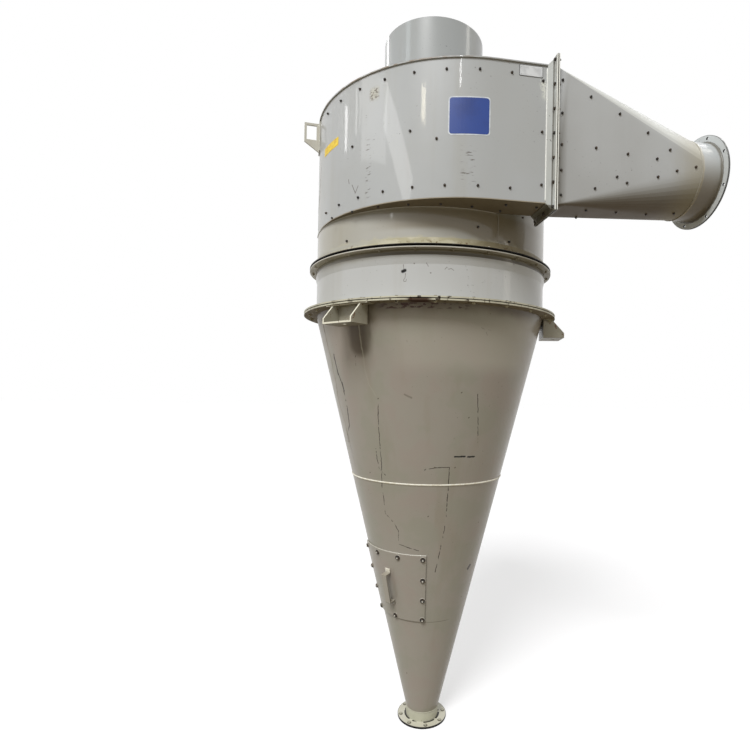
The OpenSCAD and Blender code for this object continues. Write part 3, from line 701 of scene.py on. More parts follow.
def cone_marks(tree, place, tint):
    """Scratches, drips and knocks on the cone, some through to dark steel, and painted light: shade under the ring, the
    left bracket's shadow, a highlight on the front, warm shade on the right and dark reflection lines by the left edge.
    """
    z = part_of(tree, place, "Z")
    stain = noise(tree, place, 5.5, 3.0)
    tint = blend_colour(tree, maths(tree, "MULTIPLY", ramp(tree, stain, 0.50, 0.60), 0.3), tint, srgb(140, 143, 126))
    tint = blend_colour(tree, maths(tree, "MULTIPLY", ramp(tree, stain, 0.47, 0.37), 0.3), tint, srgb(156, 142, 135))
    rough_place = wobbled(tree, place, 0.004, 45.0)
    deep = cone_lines(
        [(-82.8, 1.470), (-75.8, 1.469)],
        [(-73.7, 1.467), (-69.0, 1.467)],
        [(-45.6, 0.880), (-48.6, 0.860)],
        [(-47.0, 0.884), (-50.0, 0.866)],
        # The next four short lines, near the left edge, are painted reflection.
        [(-157.6, 1.949), (-158.2, 1.933)],
        [(-157.6, 1.877), (-157.4, 1.852)],
        [(-154.7, 1.811), (-154.2, 1.770)],
        [(-157.9, 1.926), (-157.6, 1.900)],
    )
    tint = blend_colour(tree, line_share(tree, rough_place, deep, 0.0042), tint, srgb(8, 6, 4))
    drawn = cone_lines(
        [(-89.4, 1.418), (-85.7, 1.418), (-85.2, 1.356), (-84.3, 1.14), (-85.8, 1.048), (-89.9, 0.88)],
        [(-127.8, 1.715), (-129.1, 1.657), (-130.0, 1.551), (-131.0, 1.42), (-133.0, 1.31), (-133.3, 1.171)],
        [(-133.3, 1.171), (-126.4, 1.128), (-122.9, 1.088), (-124.0, 1.019), (-113.3, 1.002), (-105.9, 0.992)],
        [(-73.4, 1.766), (-71.0, 1.66), (-67.9, 1.534)],
        [(-138.8, 1.933), (-139.4, 1.891)],
        [(-76.8, 2.066), (-74.8, 2.058)],
        [(-73.0, 2.057), (-70.8, 2.053)],
        [(-74.0, 2.046), (-73.2, 2.034)],
        [(-133.9, 1.495), (-133.9, 1.446), (-133.3, 1.397), (-129.2, 1.368)],
        [(-101.7, 1.405), (-95.4, 1.416), (-89.4, 1.418)],
    )
    broken = ramp(tree, noise(tree, place, 30.0, 3.0), 0.42, 0.52)
    drawn_share = maths(tree, "MULTIPLY", line_share(tree, rough_place, drawn, 0.0019), broken)
    tint = blend_colour(tree, maths(tree, "MULTIPLY", drawn_share, 0.95), tint, srgb(44, 34, 26))
    # Painted reflection: dark lines along the seam near the left edge.
    seam_reflection_lines = cone_lines(
        [(-157.7, 1.947), (-157.4, 1.868), (-154.8, 1.797), (-154.6, 1.697), (-156.5, 1.60), (-162.7, 1.547), (-161.0, 1.35)],
    )
    seam_reflection_share = maths(tree, "MULTIPLY", line_share(tree, rough_place, seam_reflection_lines, 0.0042), ramp(tree, z, 1.35, 1.65))
    seam_reflection_share = maths(tree, "MULTIPLY", seam_reflection_share, ramp(tree, noise(tree, place, 30.0, 3.0), 0.36, 0.48))
    tint = blend_colour(tree, maths(tree, "MULTIPLY", seam_reflection_share, 0.95), tint, srgb(44, 34, 20))
    dent = cone_lines([(-112.4, 1.760), (-110.7, 1.752), (-108.9, 1.744)])
    tint = blend_colour(tree, maths(tree, "MULTIPLY", line_share(tree, rough_place, dent, 0.004), 0.4), tint, OLD_BROWN)
    specks = cone_lines(*[
        [(degrees, z), (degrees + 0.3, z + 0.002)]
        for degrees, z in (
            (-77.0, 1.655), (-83.0, 1.771), (-142.7, 1.368), (-50.0, 1.114), (-49.2, 0.708), (-98.5, 1.172),
            (-136.0, 0.283), (-127.8, 1.736), (-138.8, 1.933), (-95.4, 1.416), (-81.9, 1.415),
        )
    ])
    tint = blend_colour(tree, maths(tree, "MULTIPLY", line_share(tree, place, specks, 0.0026), 0.75), tint, OLD_BROWN)
    seam = patch(tree, bearing(tree, place), (-99.0, -66.0), z, (0.5990, 0.6014), 6.0, 0.0008)
    tint = blend_colour(tree, maths(tree, "MULTIPLY", seam, 0.6), tint, OLD_BROWN)
    angle = bearing(tree, place)
    # Painted shade under the ring.
    head = ramp(tree, maths(tree, "ADD", z, maths(tree, "MULTIPLY", noise(tree, place, 5.0, 5.0), 0.07)), 2.135, 2.200)
    tint = blend_colour(tree, maths(tree, "MULTIPLY", head, 0.75), tint, srgb(84, 70, 44))
    flakes = maths(tree, "MULTIPLY", band(tree, angle, -121.0, -85.0, 4.0), band(tree, z, 2.138, 2.162, 0.006))
    torn = ramp(tree, noise(tree, place, 34.0, 6.0, (1.0, 1.0, 2.5)), 0.50, 0.56)
    tint = blend_colour(tree, maths(tree, "MULTIPLY", maths(tree, "MULTIPLY", flakes, torn), 0.95), tint, srgb(60, 30, 14))
    # Painted shadow of the left bracket on the cone.
    bracket_shadow = line_share(tree, place, cone_lines([(-134.8, 2.09), (-135.7, 1.985)]), 0.052)
    bracket_side_shadow = line_share(tree, place, cone_lines([(-129.0, 2.09), (-132.5, 1.985)]), 0.048)
    tint = blend_colour(tree, maths(tree, "MULTIPLY", bracket_side_shadow, 0.3), tint, srgb(84, 72, 50))
    tint = blend_colour(tree, maths(tree, "MULTIPLY", bracket_shadow, 0.8), tint, srgb(78, 64, 40))
    drip = cone_lines([(-133.6, 2.08), (-133.8, 1.979), (-133.4, 1.94), (-133.7, 1.868), (-132.5, 1.805), (-128.8, 1.749)])
    faint = maths(tree, "ADD", maths(tree, "MULTIPLY", ramp(tree, z, 1.86, 1.98), 0.35), 0.12)
    drip = maths(tree, "MULTIPLY", line_share(tree, rough_place, drip, 0.0036), faint)
    tint = blend_colour(tree, drip, tint, srgb(184, 180, 164))
    # Painted highlight high on the front.
    pale = patch(tree, angle, (-116.0, -44.0), z, (1.88, 2.10), 10.0, 0.05)
    paler = maths(tree, "ADD", maths(tree, "MULTIPLY", ramp(tree, angle, -90.0, -60.0), 0.35), 0.45)
    tint = blend_colour(tree, maths(tree, "MULTIPLY", pale, paler), tint, srgb(176, 172, 162))
    # Painted warm shade on the right side.
    painted_warm_shade = maths(tree, "MULTIPLY", maths(tree, "MULTIPLY", band(tree, angle, -62.0, 50.0, 22.0), 0.2), ramp(tree, z, 2.1, 1.7))
    return blend_colour(tree, painted_warm_shade, tint, srgb(132, 120, 96))


def roof_marks(tree, place, tint):
    """The roof's edge has lost its paint and rusts."""
    normal = put(tree, "ShaderNodeNewGeometry").outputs["True Normal"]
    edge = ramp(tree, maths(tree, "ABSOLUTE", part_of(tree, normal, "Z")), 0.9, 0.3)
    share = maths(tree, "MULTIPLY", edge, ramp(tree, noise(tree, place, 18.0, 5.0), 0.46, 0.58))
    share = maths(tree, "MULTIPLY", share, ramp(tree, part_of(tree, place, "X"), 0.32, -0.30))
    return blend_colour(tree, maths(tree, "MULTIPLY", share, 0.75), tint, srgb(118, 94, 64))


def flange_marks(tree, place, tint):
    """Dark gaps between the stitch welds of the discharge flange, and its dark rim."""
    gap = maths(tree, "MULTIPLY", ramp(tree, reach(tree, place), 0.0970, 0.0945), ramp(tree, noise(tree, place, 26.0, 1.0), 0.46, 0.50))
    rim = ramp(tree, reach(tree, place), 0.1298, 0.1308)
    return blend_colour(tree, maths(tree, "MAXIMUM", gap, rim), tint, srgb(30, 28, 24))


# %% Paint: mix a colour for each part
frame_low, frame_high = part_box("transition_frame")
handle_foot, handle_top = (corner.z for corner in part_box("door_handle"))
round_flange_r = (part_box("inlet_round_flange")[1].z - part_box("inlet_round_flange")[0].z) / 2
frame_corner_y = frame_low.y + (floor_foot - frame_low.z) - 0.005
paint_of_node = {}
paint_of_slot = {}
# A brown for dirt in streaks and for painted shade on faces that look down.
DIRT_AND_SHADE_BROWN = srgb(92, 80, 58)
# Each paint's number for faces that look down is its share of painted shade there.
head_paint = enamel("head_enamel", srgb(156, 160, 162), srgb(138, 136, 126), underside_shade=0.6)
paint_of_slot["head_paint"] = head_paint
paint_of_node["scroll_wall"] = enamel("scroll_enamel", HEAD_GREY, srgb(150, 146, 132), scroll_marks, gloss=0.38)
# The scroll's floor faces down: its brown colours are mostly painted shade, with dirt in the streaks.
paint_of_node["scroll_floor"] = enamel(
    "floor_enamel", srgb(150, 142, 124), DIRT_AND_SHADE_BROWN, underside_shade=0.85, streak=0.5, gloss=0.1
)
paint_of_node["upper_barrel"] = enamel("neck_enamel", srgb(167, 166, 160), srgb(146, 138, 118), neck_marks)
paint_of_node["roof_plate"] = enamel("roof_enamel", HEAD_GREY, srgb(146, 140, 124), roof_marks)
transition_paint = enamel(
    "transition_enamel", srgb(170, 172, 173), srgb(84, 70, 46), transition_marks, underside_shade=0.9, streak=0.04,
    gloss=0.25, shine=0.15, coat_roughness=0.28,
)
paint_of_node["transition_collar"] = enamel(
    "collar_enamel", srgb(184, 188, 190), srgb(84, 74, 54), collar_marks, underside_shade=0.85, coat_roughness=0.2
)
paint_of_slot["spacer_paint"] = enamel("spacer_enamel", srgb(183, 185, 186), srgb(164, 160, 150), spacer_marks, gloss=0.35, shine=0.25)
paint_of_node["discharge_collar"] = enamel("tip_enamel", srgb(178, 178, 160), srgb(146, 140, 114))
cone_paint = enamel("cone_enamel", srgb(154, 149, 140), srgb(134, 123, 102), cone_marks, gloss=0.15, shine=0.22)
paint_of_slot["cone_paint"] = cone_paint
trim_paint = enamel("trim_enamel", srgb(186, 184, 174), srgb(146, 136, 110), speck=0.8)
paint_of_slot["trim_paint"] = trim_paint
paint_of_node["lower_barrel_top_ring"] = enamel(
    "upper_ring_enamel", srgb(196, 194, 186), srgb(100, 88, 64), upper_ring_marks, underside_shade=0.15, gloss=0.0,
    shine=0.15,
)
paint_of_node["upper_barrel_ring"] = enamel(
    "dusty_ring_enamel", DUST_CREAM, srgb(150, 143, 118), dusty_ring_marks, streak=0.6, speck=1.0, gloss=0.0,
    shine=0.15,
)
paint_of_node["discharge_flange"] = enamel("flange_enamel", srgb(196, 194, 178), srgb(160, 154, 128), flange_marks, gloss=0.4)
ring_paint = enamel(
    "ring_enamel", srgb(198, 196, 178), srgb(96, 82, 58), ring_marks, streak=0.4, speck=1.0, underside_shade=0.85, gloss=0.0,
    shine=0.1,
)
paint_of_slot["ring_paint"] = ring_paint
bracket_paint = enamel(
    "bracket_enamel", srgb(174, 171, 156), srgb(110, 102, 82), bracket_marks, speck=1.0, underside_shade=0.8, gloss=0.2
)
for number in (1, 2, 3):
    paint_of_node["support_bracket_%d" % number] = bracket_paint
paint_of_node["door_handle"] = enamel("handle_enamel", srgb(150, 144, 131), srgb(120, 110, 90), handle_marks)
frame_paint = enamel("inlet_frame_enamel", srgb(200, 204, 204), srgb(160, 156, 142), frame_marks, speck=0.8, gloss=0.3)
paint_of_node["inlet_round_flange"] = enamel(
    "pipe_flange_enamel", srgb(212, 217, 219), srgb(112, 104, 84), round_flange_marks, underside_shade=0.7
)
paint_of_node["inlet_duct_frame"] = frame_paint
paint_of_node["transition_frame"] = frame_paint
print("paints:", len(bpy.data.materials))


# %% Paint: rubber, sealant and dark steel
def plain_finish(name, colour, other, scale, roughness, metallic=0.0, bump_depth=0.001):
    """A simpler finish: two colours mixed by noise, with a fine bump."""
    material = bpy.data.materials.new(name)
    material.use_nodes = True
    tree = material.node_tree
    shader = tree.nodes["Principled BSDF"]
    place = surface_place(tree)
    mottle = noise(tree, place, scale, 5.0)
    tree.links.new(
        blend_colour(tree, ramp(tree, mottle, 0.4, 0.65), colour, other), shader.inputs["Base Color"]
    )
    shader.inputs["Metallic"].default_value = metallic
    shader.inputs["Roughness"].default_value = roughness
    bump = put(tree, "ShaderNodeBump", in_Strength=0.5, in_Distance=bump_depth, in_Height=mottle)
    tree.links.new(bump.outputs[0], shader.inputs["Normal"])
    return material


rubber = plain_finish("black_rubber", srgb(8, 8, 7), srgb(22, 19, 15), 60.0, 0.95)
rubber.node_tree.nodes["Principled BSDF"].inputs["Specular IOR Level"].default_value = 0.03
sealant = plain_finish("white_sealant", srgb(234, 232, 222), srgb(220, 215, 198), 45.0, 0.55)
bolt_steel = plain_finish("dark_bolt_steel", srgb(44, 42, 40), srgb(70, 56, 42), 90.0, 0.5, 0.4, 0.0005)

rusty_steel = plain_finish("rusty_bolt_steel", srgb(58, 46, 34), srgb(104, 78, 50), 90.0, 0.7, 0.1, 0.0005)

paint_of_slot["bead"] = sealant
paint_of_slot["seal"] = rubber

# %% Paint: hand the paints to the machine's own nodes
slot_of_node = {subpart["node"]: subpart["material_slot"] for subpart in frame["record"]["subparts"]}
for node, slot in slot_of_node.items():
    paint_of_node.setdefault(node, paint_of_slot[slot])
    node_mesh = frame["nodes"][node].data
    for index in range(len(node_mesh.materials)):
        node_mesh.materials[index] = paint_of_node[node]
print("painted nodes:", len(slot_of_node))

# %% [markdown]
# Bolts come by the hundred, but each is the same little shape: a washer, a hexagon with its corners
# taken off, and the end of the stud. We model one of each kind at the origin with bmesh operators, and
# stamp copies of it wherever a place and a direction say.


# %% Model one bolt head of each kind
def hexagon_head(flats, height, washer_r, washer_t, stud_r, stud_h):
    """One bolt head standing on the origin and pointing up, as a bmesh."""
    bm = bmesh.new()
    corner = flats / 2 / math.cos(math.radians(30))
    middle = Matrix.Translation((0, 0, washer_t / 2))
    bmesh.ops.create_cone(
        bm, cap_ends=True, segments=20, radius1=washer_r, radius2=washer_r, depth=washer_t, matrix=middle
    )
    middle = Matrix.Translation((0, 0, washer_t + height / 2))
    head = bmesh.ops.create_cone(
        bm, cap_ends=True, segments=6, radius1=corner, radius2=corner, depth=height, matrix=middle
    )
    top_z = washer_t + height
    top_edges = list({
        edge for vert in head["verts"] for edge in vert.link_edges
        if all(end.co.z > top_z - 1e-5 for end in edge.verts)
    })
    bmesh.ops.bevel(
        bm, geom=top_edges, offset=height * 0.18, offset_type="OFFSET", segments=2, profile=0.5,
        affect="EDGES", material=-1,
    )
    if stud_h > 0:
        middle = Matrix.Translation((0, 0, top_z + stud_h / 2))
        bmesh.ops.create_cone(
            bm, cap_ends=True, segments=12, radius1=stud_r, radius2=stud_r * 0.85, depth=stud_h,
            matrix=middle,
        )
    return bm


def thin_washer(radius):
    """The rim of a sealing washer that shows round a nut."""
    bm = bmesh.new()
    bmesh.ops.create_cone(
        bm, cap_ends=True, segments=20, radius1=radius, radius2=radius * 0.9, depth=0.002,
        matrix=Matrix.Translation((0, 0, 0.0008)),
    )
    return bm


def standing(point, outward, turn=0.0):
    """The matrix that stands a piece on a point, its top pointing outward."""
    aim = Vector(outward).to_track_quat("Z", "Y").to_matrix().to_4x4()
    return Matrix.Translation(point) @ aim @ Matrix.Rotation(turn, 4, "Z")


def new_piece(name, bm, material):
    """Makes an object from a bmesh, which rides on the machine."""
    mesh = bpy.data.meshes.new(name)
    bm.to_mesh(mesh)
    bm.free()
    mesh.materials.append(material)
    piece = bpy.data.objects.new(name, mesh)
    bpy.context.scene.collection.objects.link(piece)
    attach(piece, "root")
    return piece


def stamp(name, pattern, places, material):
    """One joined mesh with a copy of the pattern at each place. Seeded turns keep bolts unlike."""
    turns = random.Random(name)
    pattern_mesh = bpy.data.meshes.new(name + "_pattern")
    pattern.to_mesh(pattern_mesh)
    bm = bmesh.new()
    for place in places:
        before = len(bm.verts)
        bm.from_mesh(pattern_mesh)
        bm.verts.ensure_lookup_table()
        turned = place @ Matrix.Rotation(turns.uniform(0, math.tau), 4, "Z")
        bmesh.ops.transform(bm, matrix=turned, verts=bm.verts[before:])
    bpy.data.meshes.remove(pattern_mesh)
    print(name, "copies:", len(places))
    return new_piece(name, bm, material)


panel_stud = hexagon_head(0.0092, 0.005, 0.0058, 0.001, 0.003, 0.002)
frame_head = hexagon_head(0.011, 0.006, 0.0072, 0.0014, 0, 0)
frame_nut = hexagon_head(0.011, 0.005, 0.0072, 0.0014, 0.0035, 0.004)


# %% A search tree, for finding where a line meets a part
def tree_of(*names):
    """A search tree over the nodes' faces, for finding where a line meets them."""
    verts = []
    faces = []
    for name in names:
        mesh = frame["nodes"][name].data
        start = len(verts)
        verts += [vert.co.copy() for vert in mesh.vertices]
        faces += [[start + index for index in face.vertices] for face in mesh.polygons]
    return BVHTree.FromPolygons(verts, faces)


def met(tree, start, direction):
    """Where a line from start first meets the searched faces, and the way that face looks."""
    point, outward, _, _ = tree.ray_cast(Vector(start), Vector(direction))
    return point, outward


# %% Stamp the studs of the scroll and the barrel
STUD_PITCH = 0.138
top_row_z = roof_foot - 0.046
foot_row_z = floor_foot + 0.053
runs = [0.0682 + STUD_PITCH * (step - 7) for step in range(9)]
scroll_places = []
for run in runs:
    last = run > STUD_PITCH
    for z in (top_row_z - 0.019 * last, foot_row_z + 0.024 * last):
        scroll_places.append(standing(*on_scroll(run, z)))
for run, z in ((0.205, 2.880), (-0.245, 2.828), (-0.360, 2.871), (-0.665, 2.872)):
    scroll_places.append(standing(*on_scroll(run, z)))
stamp("scroll_studs", panel_stud, scroll_places, bolt_steel)

floor_places = []
down = Vector((0, 0, -1))
for step in range(8):
    point, _ = on_barrel(-60 - 12.3 * step, floor_foot, 0.036)
    floor_places.append(standing(point, down))
for run in (0.068, 0.205):
    point, _ = on_scroll(run, floor_foot, -0.047)
    floor_places.append(standing(point, down))
stamp("scroll_floor_studs", panel_stud, floor_places, bolt_steel)

barrel_places = [standing(*on_barrel(degrees, 2.463)) for degrees in (-139.7, -64.5, 10, 85, 160)]
barrel_places.append(standing(*on_barrel(-80.5, 2.504)))
stamp("barrel_studs", panel_stud, barrel_places, bolt_steel)

# %% Stamp the studs of the transition
transition_tree = tree_of("transition_body")


def on_transition(x, z):
    """A place on the front of the transition, found by looking along +Y."""
    return met(transition_tree, (x, -3, z), (0, 1, 0))


def under_transition(x, y):
    """A place under the transition, found by looking up."""
    return met(transition_tree, (x, y, 0), (0, 0, 1))


edge_column = [(0.422, z) for z in (3.109, 2.968, 2.834, 2.725, 2.619)]
upper_row = [(0.543, 3.041), (0.667, 2.972), (0.788, 2.895), (0.884, 2.825), (0.996, 2.755)]
middle_row = [(0.568, 2.824), (0.704, 2.802), (0.829, 2.785), (0.915, 2.736)]
lower_row = [(0.834, 2.708), (0.702, 2.678), (0.659, 2.703), (0.566, 2.651)]
transition_places = []
for x, z in edge_column + upper_row + middle_row + lower_row:
    transition_places.append(standing(*on_transition(x, z)))
for x, y in ((0.561, -0.697), (0.704, -0.695), (0.852, -0.692), (0.978, -0.708), (0.561, -0.604)):
    transition_places.append(standing(*under_transition(x, y)))
stamp("transition_studs", panel_stud, transition_places, bolt_steel)

# %% Bolt the inlet frames together
frame_back_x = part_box("inlet_duct_frame")[1].x - (frame_high.x - frame_low.x)
frame_leg = floor_foot - frame_low.z
bolt_rows = 7
frame_places = []
for step in range(bolt_rows):
    z = frame_low.z + frame_leg / 2 + step * (frame_high.z - frame_low.z - frame_leg) / (bolt_rows - 1)
    across = [frame_low.y + frame_leg / 2, frame_high.y - frame_leg / 2]
    if step in (0, bolt_rows - 1):
        across.append((frame_low.y + frame_high.y) / 2)
    for y in across:
        frame_places.append((y, z))
heads = [standing(Vector((frame_back_x, y, z)), Vector((-1, 0, 0))) for y, z in frame_places]
nuts = [standing(Vector((frame_high.x, y, z)), Vector((1, 0, 0))) for y, z in frame_places]
stamp("inlet_frame_bolts", frame_head, heads, bolt_steel)
stamp("inlet_frame_nuts", frame_nut, nuts, bolt_steel)

# %% [markdown]
# The rings are drilled alike and pulled together by bolts with a head above and a nut below. Lines sent
# straight down and straight up find the steel that carries each one, also where a foot's plate lies
# under the ring.

# %% Bolt the rings and the discharge flange
RING_BOLTS = 24
RING_1_START = -121.4
RING_2_START = -143.2
ring_1_tree = tree_of("upper_barrel_ring", "lower_barrel_top_ring")
ring_2_tree = tree_of(
    "lower_barrel_bottom_ring", "cone_top_ring", "support_bracket_1", "support_bracket_2", "support_bracket_3"
)


def ring_places(tree, start, radius, middle_z):
    """Standing places above and below a pair of rings, found by looking at them from both sides."""
    above, below = [], []
    for step in range(RING_BOLTS):
        middle, _ = on_barrel(start + 360 / RING_BOLTS * step, middle_z, radius=radius)
        above.append(standing(*met(tree, middle + Vector((0, 0, 0.02)), (0, 0, -1))))
        below.append(standing(*met(tree, middle - Vector((0, 0, 0.04)), (0, 0, 1))))
    return above, below


above, below = ring_places(ring_1_tree, RING_1_START, barrel_r + 0.021, ring_1_top)
# The nuts under the rings take the rings' own paint, with its painted shade.
ring_nut_paint = paint_of_node["lower_barrel_top_ring"]
stamp("upper_ring_bolts", hexagon_head(0.011, 0.005, 0.007, 0.0014, 0, 0), above, trim_paint)
stamp("upper_ring_nuts", hexagon_head(0.011, 0.005, 0.007, 0.0014, 0.003, 0.003), below, ring_nut_paint)
above, below = ring_places(ring_2_tree, RING_2_START, barrel_r + 0.036, ring_2_top)
stamp("lower_ring_bolts", hexagon_head(0.014, 0.005, 0.0095, 0.0014, 0, 0), above, rusty_steel)
stamp("lower_ring_nuts", hexagon_head(0.014, 0.005, 0.0095, 0.0014, 0.004, 0.002), below, ring_paint)

DISCHARGE_BOLT_CIRCLE_R = 0.116
flange_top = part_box("discharge_flange")[1].z
tip_places = [
    standing(on_barrel(45 * step, flange_top, radius=DISCHARGE_BOLT_CIRCLE_R)[0], Vector((0, 0, 1)))
    for step in range(8)
]
tip_bolt_paint = enamel("tip_bolt_enamel", srgb(168, 166, 150), srgb(110, 104, 86))
stamp("discharge_bolts", hexagon_head(0.012, 0.005, 0.008, 0.0022, 0, 0), tip_places, tip_bolt_paint)
stamp("discharge_washers", thin_washer(0.0108), tip_places, bolt_steel)

# %% Stud the access door
door_tree = tree_of("access_door")


def on_door(degrees, z):
    """A place on the door, found by looking at it square to the cone's wall."""
    point, outward = on_cone(degrees, z, 0.1)
    return met(door_tree, point, -outward)


DOOR_STUDS = (
    (-102.0, 0.949), (-125.5, 0.949), (-150.0, 0.949), (-174.0, 0.949), (-102.0, 0.837), (-102.0, 0.727),
    (-102.0, 0.619), (-138.5, 0.620), (-174.5, 0.619), (-175.0, 0.837), (-175.0, 0.727),
)
door_places = [standing(*on_door(degrees, z)) for degrees, z in DOOR_STUDS]
door_nut = hexagon_head(0.019, 0.006, 0.0128, 0.002, 0, 0)
stamp("door_nuts", door_nut, door_places, bolt_steel)
stud_end = bmesh.new()
bmesh.ops.create_cone(
    stud_end, cap_ends=True, segments=12, radius1=0.0046, radius2=0.0036, depth=0.005,
    matrix=Matrix.Translation((0, 0, 0.009)),
)
stamp("door_stud_ends", stud_end, door_places, trim_paint)
stamp("door_washers", thin_washer(0.0155), door_places, cone_paint)

# %% [markdown]
# Saw-cut plate has edges that are never quite sharp, and it is that small round which catches the
# light. So each frame, foot and lug gets a copy of its own shape with a Bevel modifier. A loaded mesh
# is loose triangles, so the copy's doubles are merged and its flat faces joined before it is bevelled.


# %% Soften the edges of the heavy plate
def merged_copy(node):
    """A node's mesh as a bmesh, with its doubles merged and its flat faces joined."""
    bm = bmesh.new()
    bm.from_mesh(frame["nodes"][node].data)
    bmesh.ops.remove_doubles(bm, verts=bm.verts, dist=1e-5)
    bmesh.ops.dissolve_limit(
        bm, angle_limit=math.radians(0.5), verts=bm.verts, edges=bm.edges, use_dissolve_boundaries=False
    )
    return bm


def soften(node, width):
    """Replaces a node by a copy with rounded edges."""
    piece = new_piece(node + "_rounded", merged_copy(node), paint_of_node[node])
    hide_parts(node)
    bevel = piece.modifiers.new("rounded_edges", "BEVEL")
    bevel.width = width
    bevel.segments = 2
    bevel.limit_method = "ANGLE"
    bevel.angle_limit = math.radians(40)
    bevel.harden_normals = True
    piece.data.shade_smooth()
    piece.data.set_sharp_from_angle(angle=math.radians(35))
    return piece


EDGE_ROUNDS = {
    "inlet_duct_frame": 0.0012, "transition_frame": 0.0012, "inlet_round_flange": 0.0012,
    "support_bracket_1": 0.0015, "support_bracket_2": 0.0015, "support_bracket_3": 0.0015,
    "lifting_lug_left": 0.0018, "lifting_lug_right": 0.0018, "door_handle": 0.0012, "access_door": 0.001,
    "discharge_flange": 0.001,
}
for node, width in EDGE_ROUNDS.items():
    soften(node, width)
print("softened nodes:", len(EDGE_ROUNDS))

# %% [markdown]
# The transition is one sheet bent from a tall slot to a round pipe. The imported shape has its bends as
# flat facets. A copy, cut across in slices and shaded smooth, shows them as the soft folds that a press
# brake leaves.

# %% Smooth the transition's folds
bm = merged_copy("transition_body")
body_low, body_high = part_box("transition_body")
for step in range(1, 12):
    cut_x = body_low.x + (body_high.x - body_low.x) * step / 12
    bmesh.ops.bisect_plane(
        bm, geom=bm.verts[:] + bm.edges[:] + bm.faces[:], plane_co=(cut_x, 0, 0), plane_no=(1, 0, 0)
    )
transition_skin = new_piece("transition_skin", bm, transition_paint)
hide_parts("transition_body")
transition_skin.data.shade_smooth()
transition_skin.data.set_sharp_from_angle(angle=math.radians(40))
print("transition faces:", len(transition_skin.data.polygons))

# %% [markdown]
# Welds show wherever two sheets meet. A bead is a small ring of points pushed along a path, a little
# fatter here and thinner there, as the welder's hand made it. Half of it sinks into the plates.


# %% Lay weld beads along the joints
def bead_along(name, points, thickness, material, ripple=0.15):
    """Pushes a small ring of points along a path and closes both ends."""
    hand = random.Random(name)
    last = len(points) - 1
    aims = [(points[min(i + 1, last)] - points[max(i - 1, 0)]).normalized() for i in range(last + 1)]
    bm = bmesh.new()
    start = bmesh.ops.create_circle(
        bm, cap_ends=True, segments=6, radius=thickness / 2, matrix=standing(points[0], aims[0])
    )
    rim = list({edge for vert in start["verts"] for edge in vert.link_edges})
    size = 1.0
    for i in range(1, last + 1):
        grown = bmesh.ops.extrude_edge_only(bm, edges=rim)["geom"]
        verts = [item for item in grown if isinstance(item, bmesh.types.BMVert)]
        rim = [item for item in grown if isinstance(item, bmesh.types.BMEdge) and set(item.verts) <= set(verts)]
        next_size = 1 + hand.uniform(-ripple, ripple)
        turn = aims[i - 1].rotation_difference(aims[i]).to_matrix().to_4x4()
        grow = Matrix.Scale(next_size / size, 4)
        move = Matrix.Translation(points[i]) @ turn @ grow @ Matrix.Translation(-points[i - 1])
        bmesh.ops.transform(bm, matrix=move, verts=verts)
        size = next_size
    bmesh.ops.edgeloop_fill(bm, edges=rim)
    bmesh.ops.recalc_face_normals(bm, faces=bm.faces)
    piece = new_piece(name, bm, material)
    piece.data.shade_smooth()
    return piece


def arc(radius, z, start, end, steps, middle=(0.0, 0.0)):
    """Points on a level arc between two directions."""
    shift = Vector((*middle, 0))
    return [on_barrel(start + (end - start) * i / steps, z, radius=radius)[0] + shift for i in range(steps + 1)]


def upright_circle(x, radius, steps):
    """Points on a circle about the inlet pipe, square to it."""
    middle = Vector((x, pipe_middle.y, pipe_middle.z))
    return [
        middle + radius * Vector((0, math.cos(math.tau * i / steps), math.sin(math.tau * i / steps)))
        for i in range(steps + 1)
    ]


def straight(start, end, steps):
    """Points on a straight line, for a bead that ripples along it."""
    return [Vector(start).lerp(Vector(end), i / steps) for i in range(steps + 1)]


neck_paint = paint_of_node["upper_barrel"]
scroll_paint = paint_of_node["scroll_wall"]
neck_top = floor_foot - 0.001
bead_along(
    "neck_seam_weld", [on_barrel(-70.8, ring_1_top + (neck_top - ring_1_top) * i / 40)[0] for i in range(41)],
    0.006, neck_paint,
)
bead_along("scroll_floor_weld", arc(barrel_r, floor_foot, -178, -72, 110), 0.007, neck_paint)
bead_along("outlet_weld", arc(stub_r, roof_top, 0, 360, 200), 0.008, head_paint)
bead_along(
    "tip_weld", arc(cone_foot_r + 0.0005, cone_foot, 0, 360, 100), 0.004,
    paint_of_node["discharge_collar"],
)
bead_along(
    "collar_weld", upright_circle(body_high.x, collar_r, 120), 0.006, transition_paint
)
bead_along(
    "round_flange_weld", upright_circle(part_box("inlet_round_flange")[0].x, collar_r + 0.001, 120), 0.006,
    paint_of_node["transition_collar"],
)
seam_line = ((-1.066, 3.155), (-1.034, 3.06), (-1.068, 3.035), (-1.015, 2.90), (-1.025, 2.86), (-1.038, 2.78), (-1.094, 2.70), (-1.07, 2.59))
seam_points = []
for (run, z), (next_run, next_z) in zip(seam_line, seam_line[1:]):
    for i in range(12):
        seam_points.append(on_scroll(run + (next_run - run) * i / 12, z + (next_z - z) * i / 12, -0.0012)[0])
bead_along("scroll_seam_weld", seam_points, 0.005, scroll_paint, 0.25)
cone_seam = ((-163.6, 2.13), (-163.9, 1.995), (-162.4, 1.928), (-163.7, 1.873), (-163.4, 1.805), (-166.0, 1.743), (-165.6, 1.68), (-162.8, 1.60), (-164.3, 1.50))
seam_points = []
for (degrees, z), (next_degrees, next_z) in zip(cone_seam, cone_seam[1:]):
    for i in range(12):
        seam_points.append(on_cone(degrees + (next_degrees - degrees) * i / 12, z + (next_z - z) * i / 12, -0.0012)[0])
bead_along("cone_seam_weld", seam_points, 0.005, cone_paint, 0.25)
foot_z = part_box("lower_barrel_top_ring")[0].z
bm = bmesh.new()
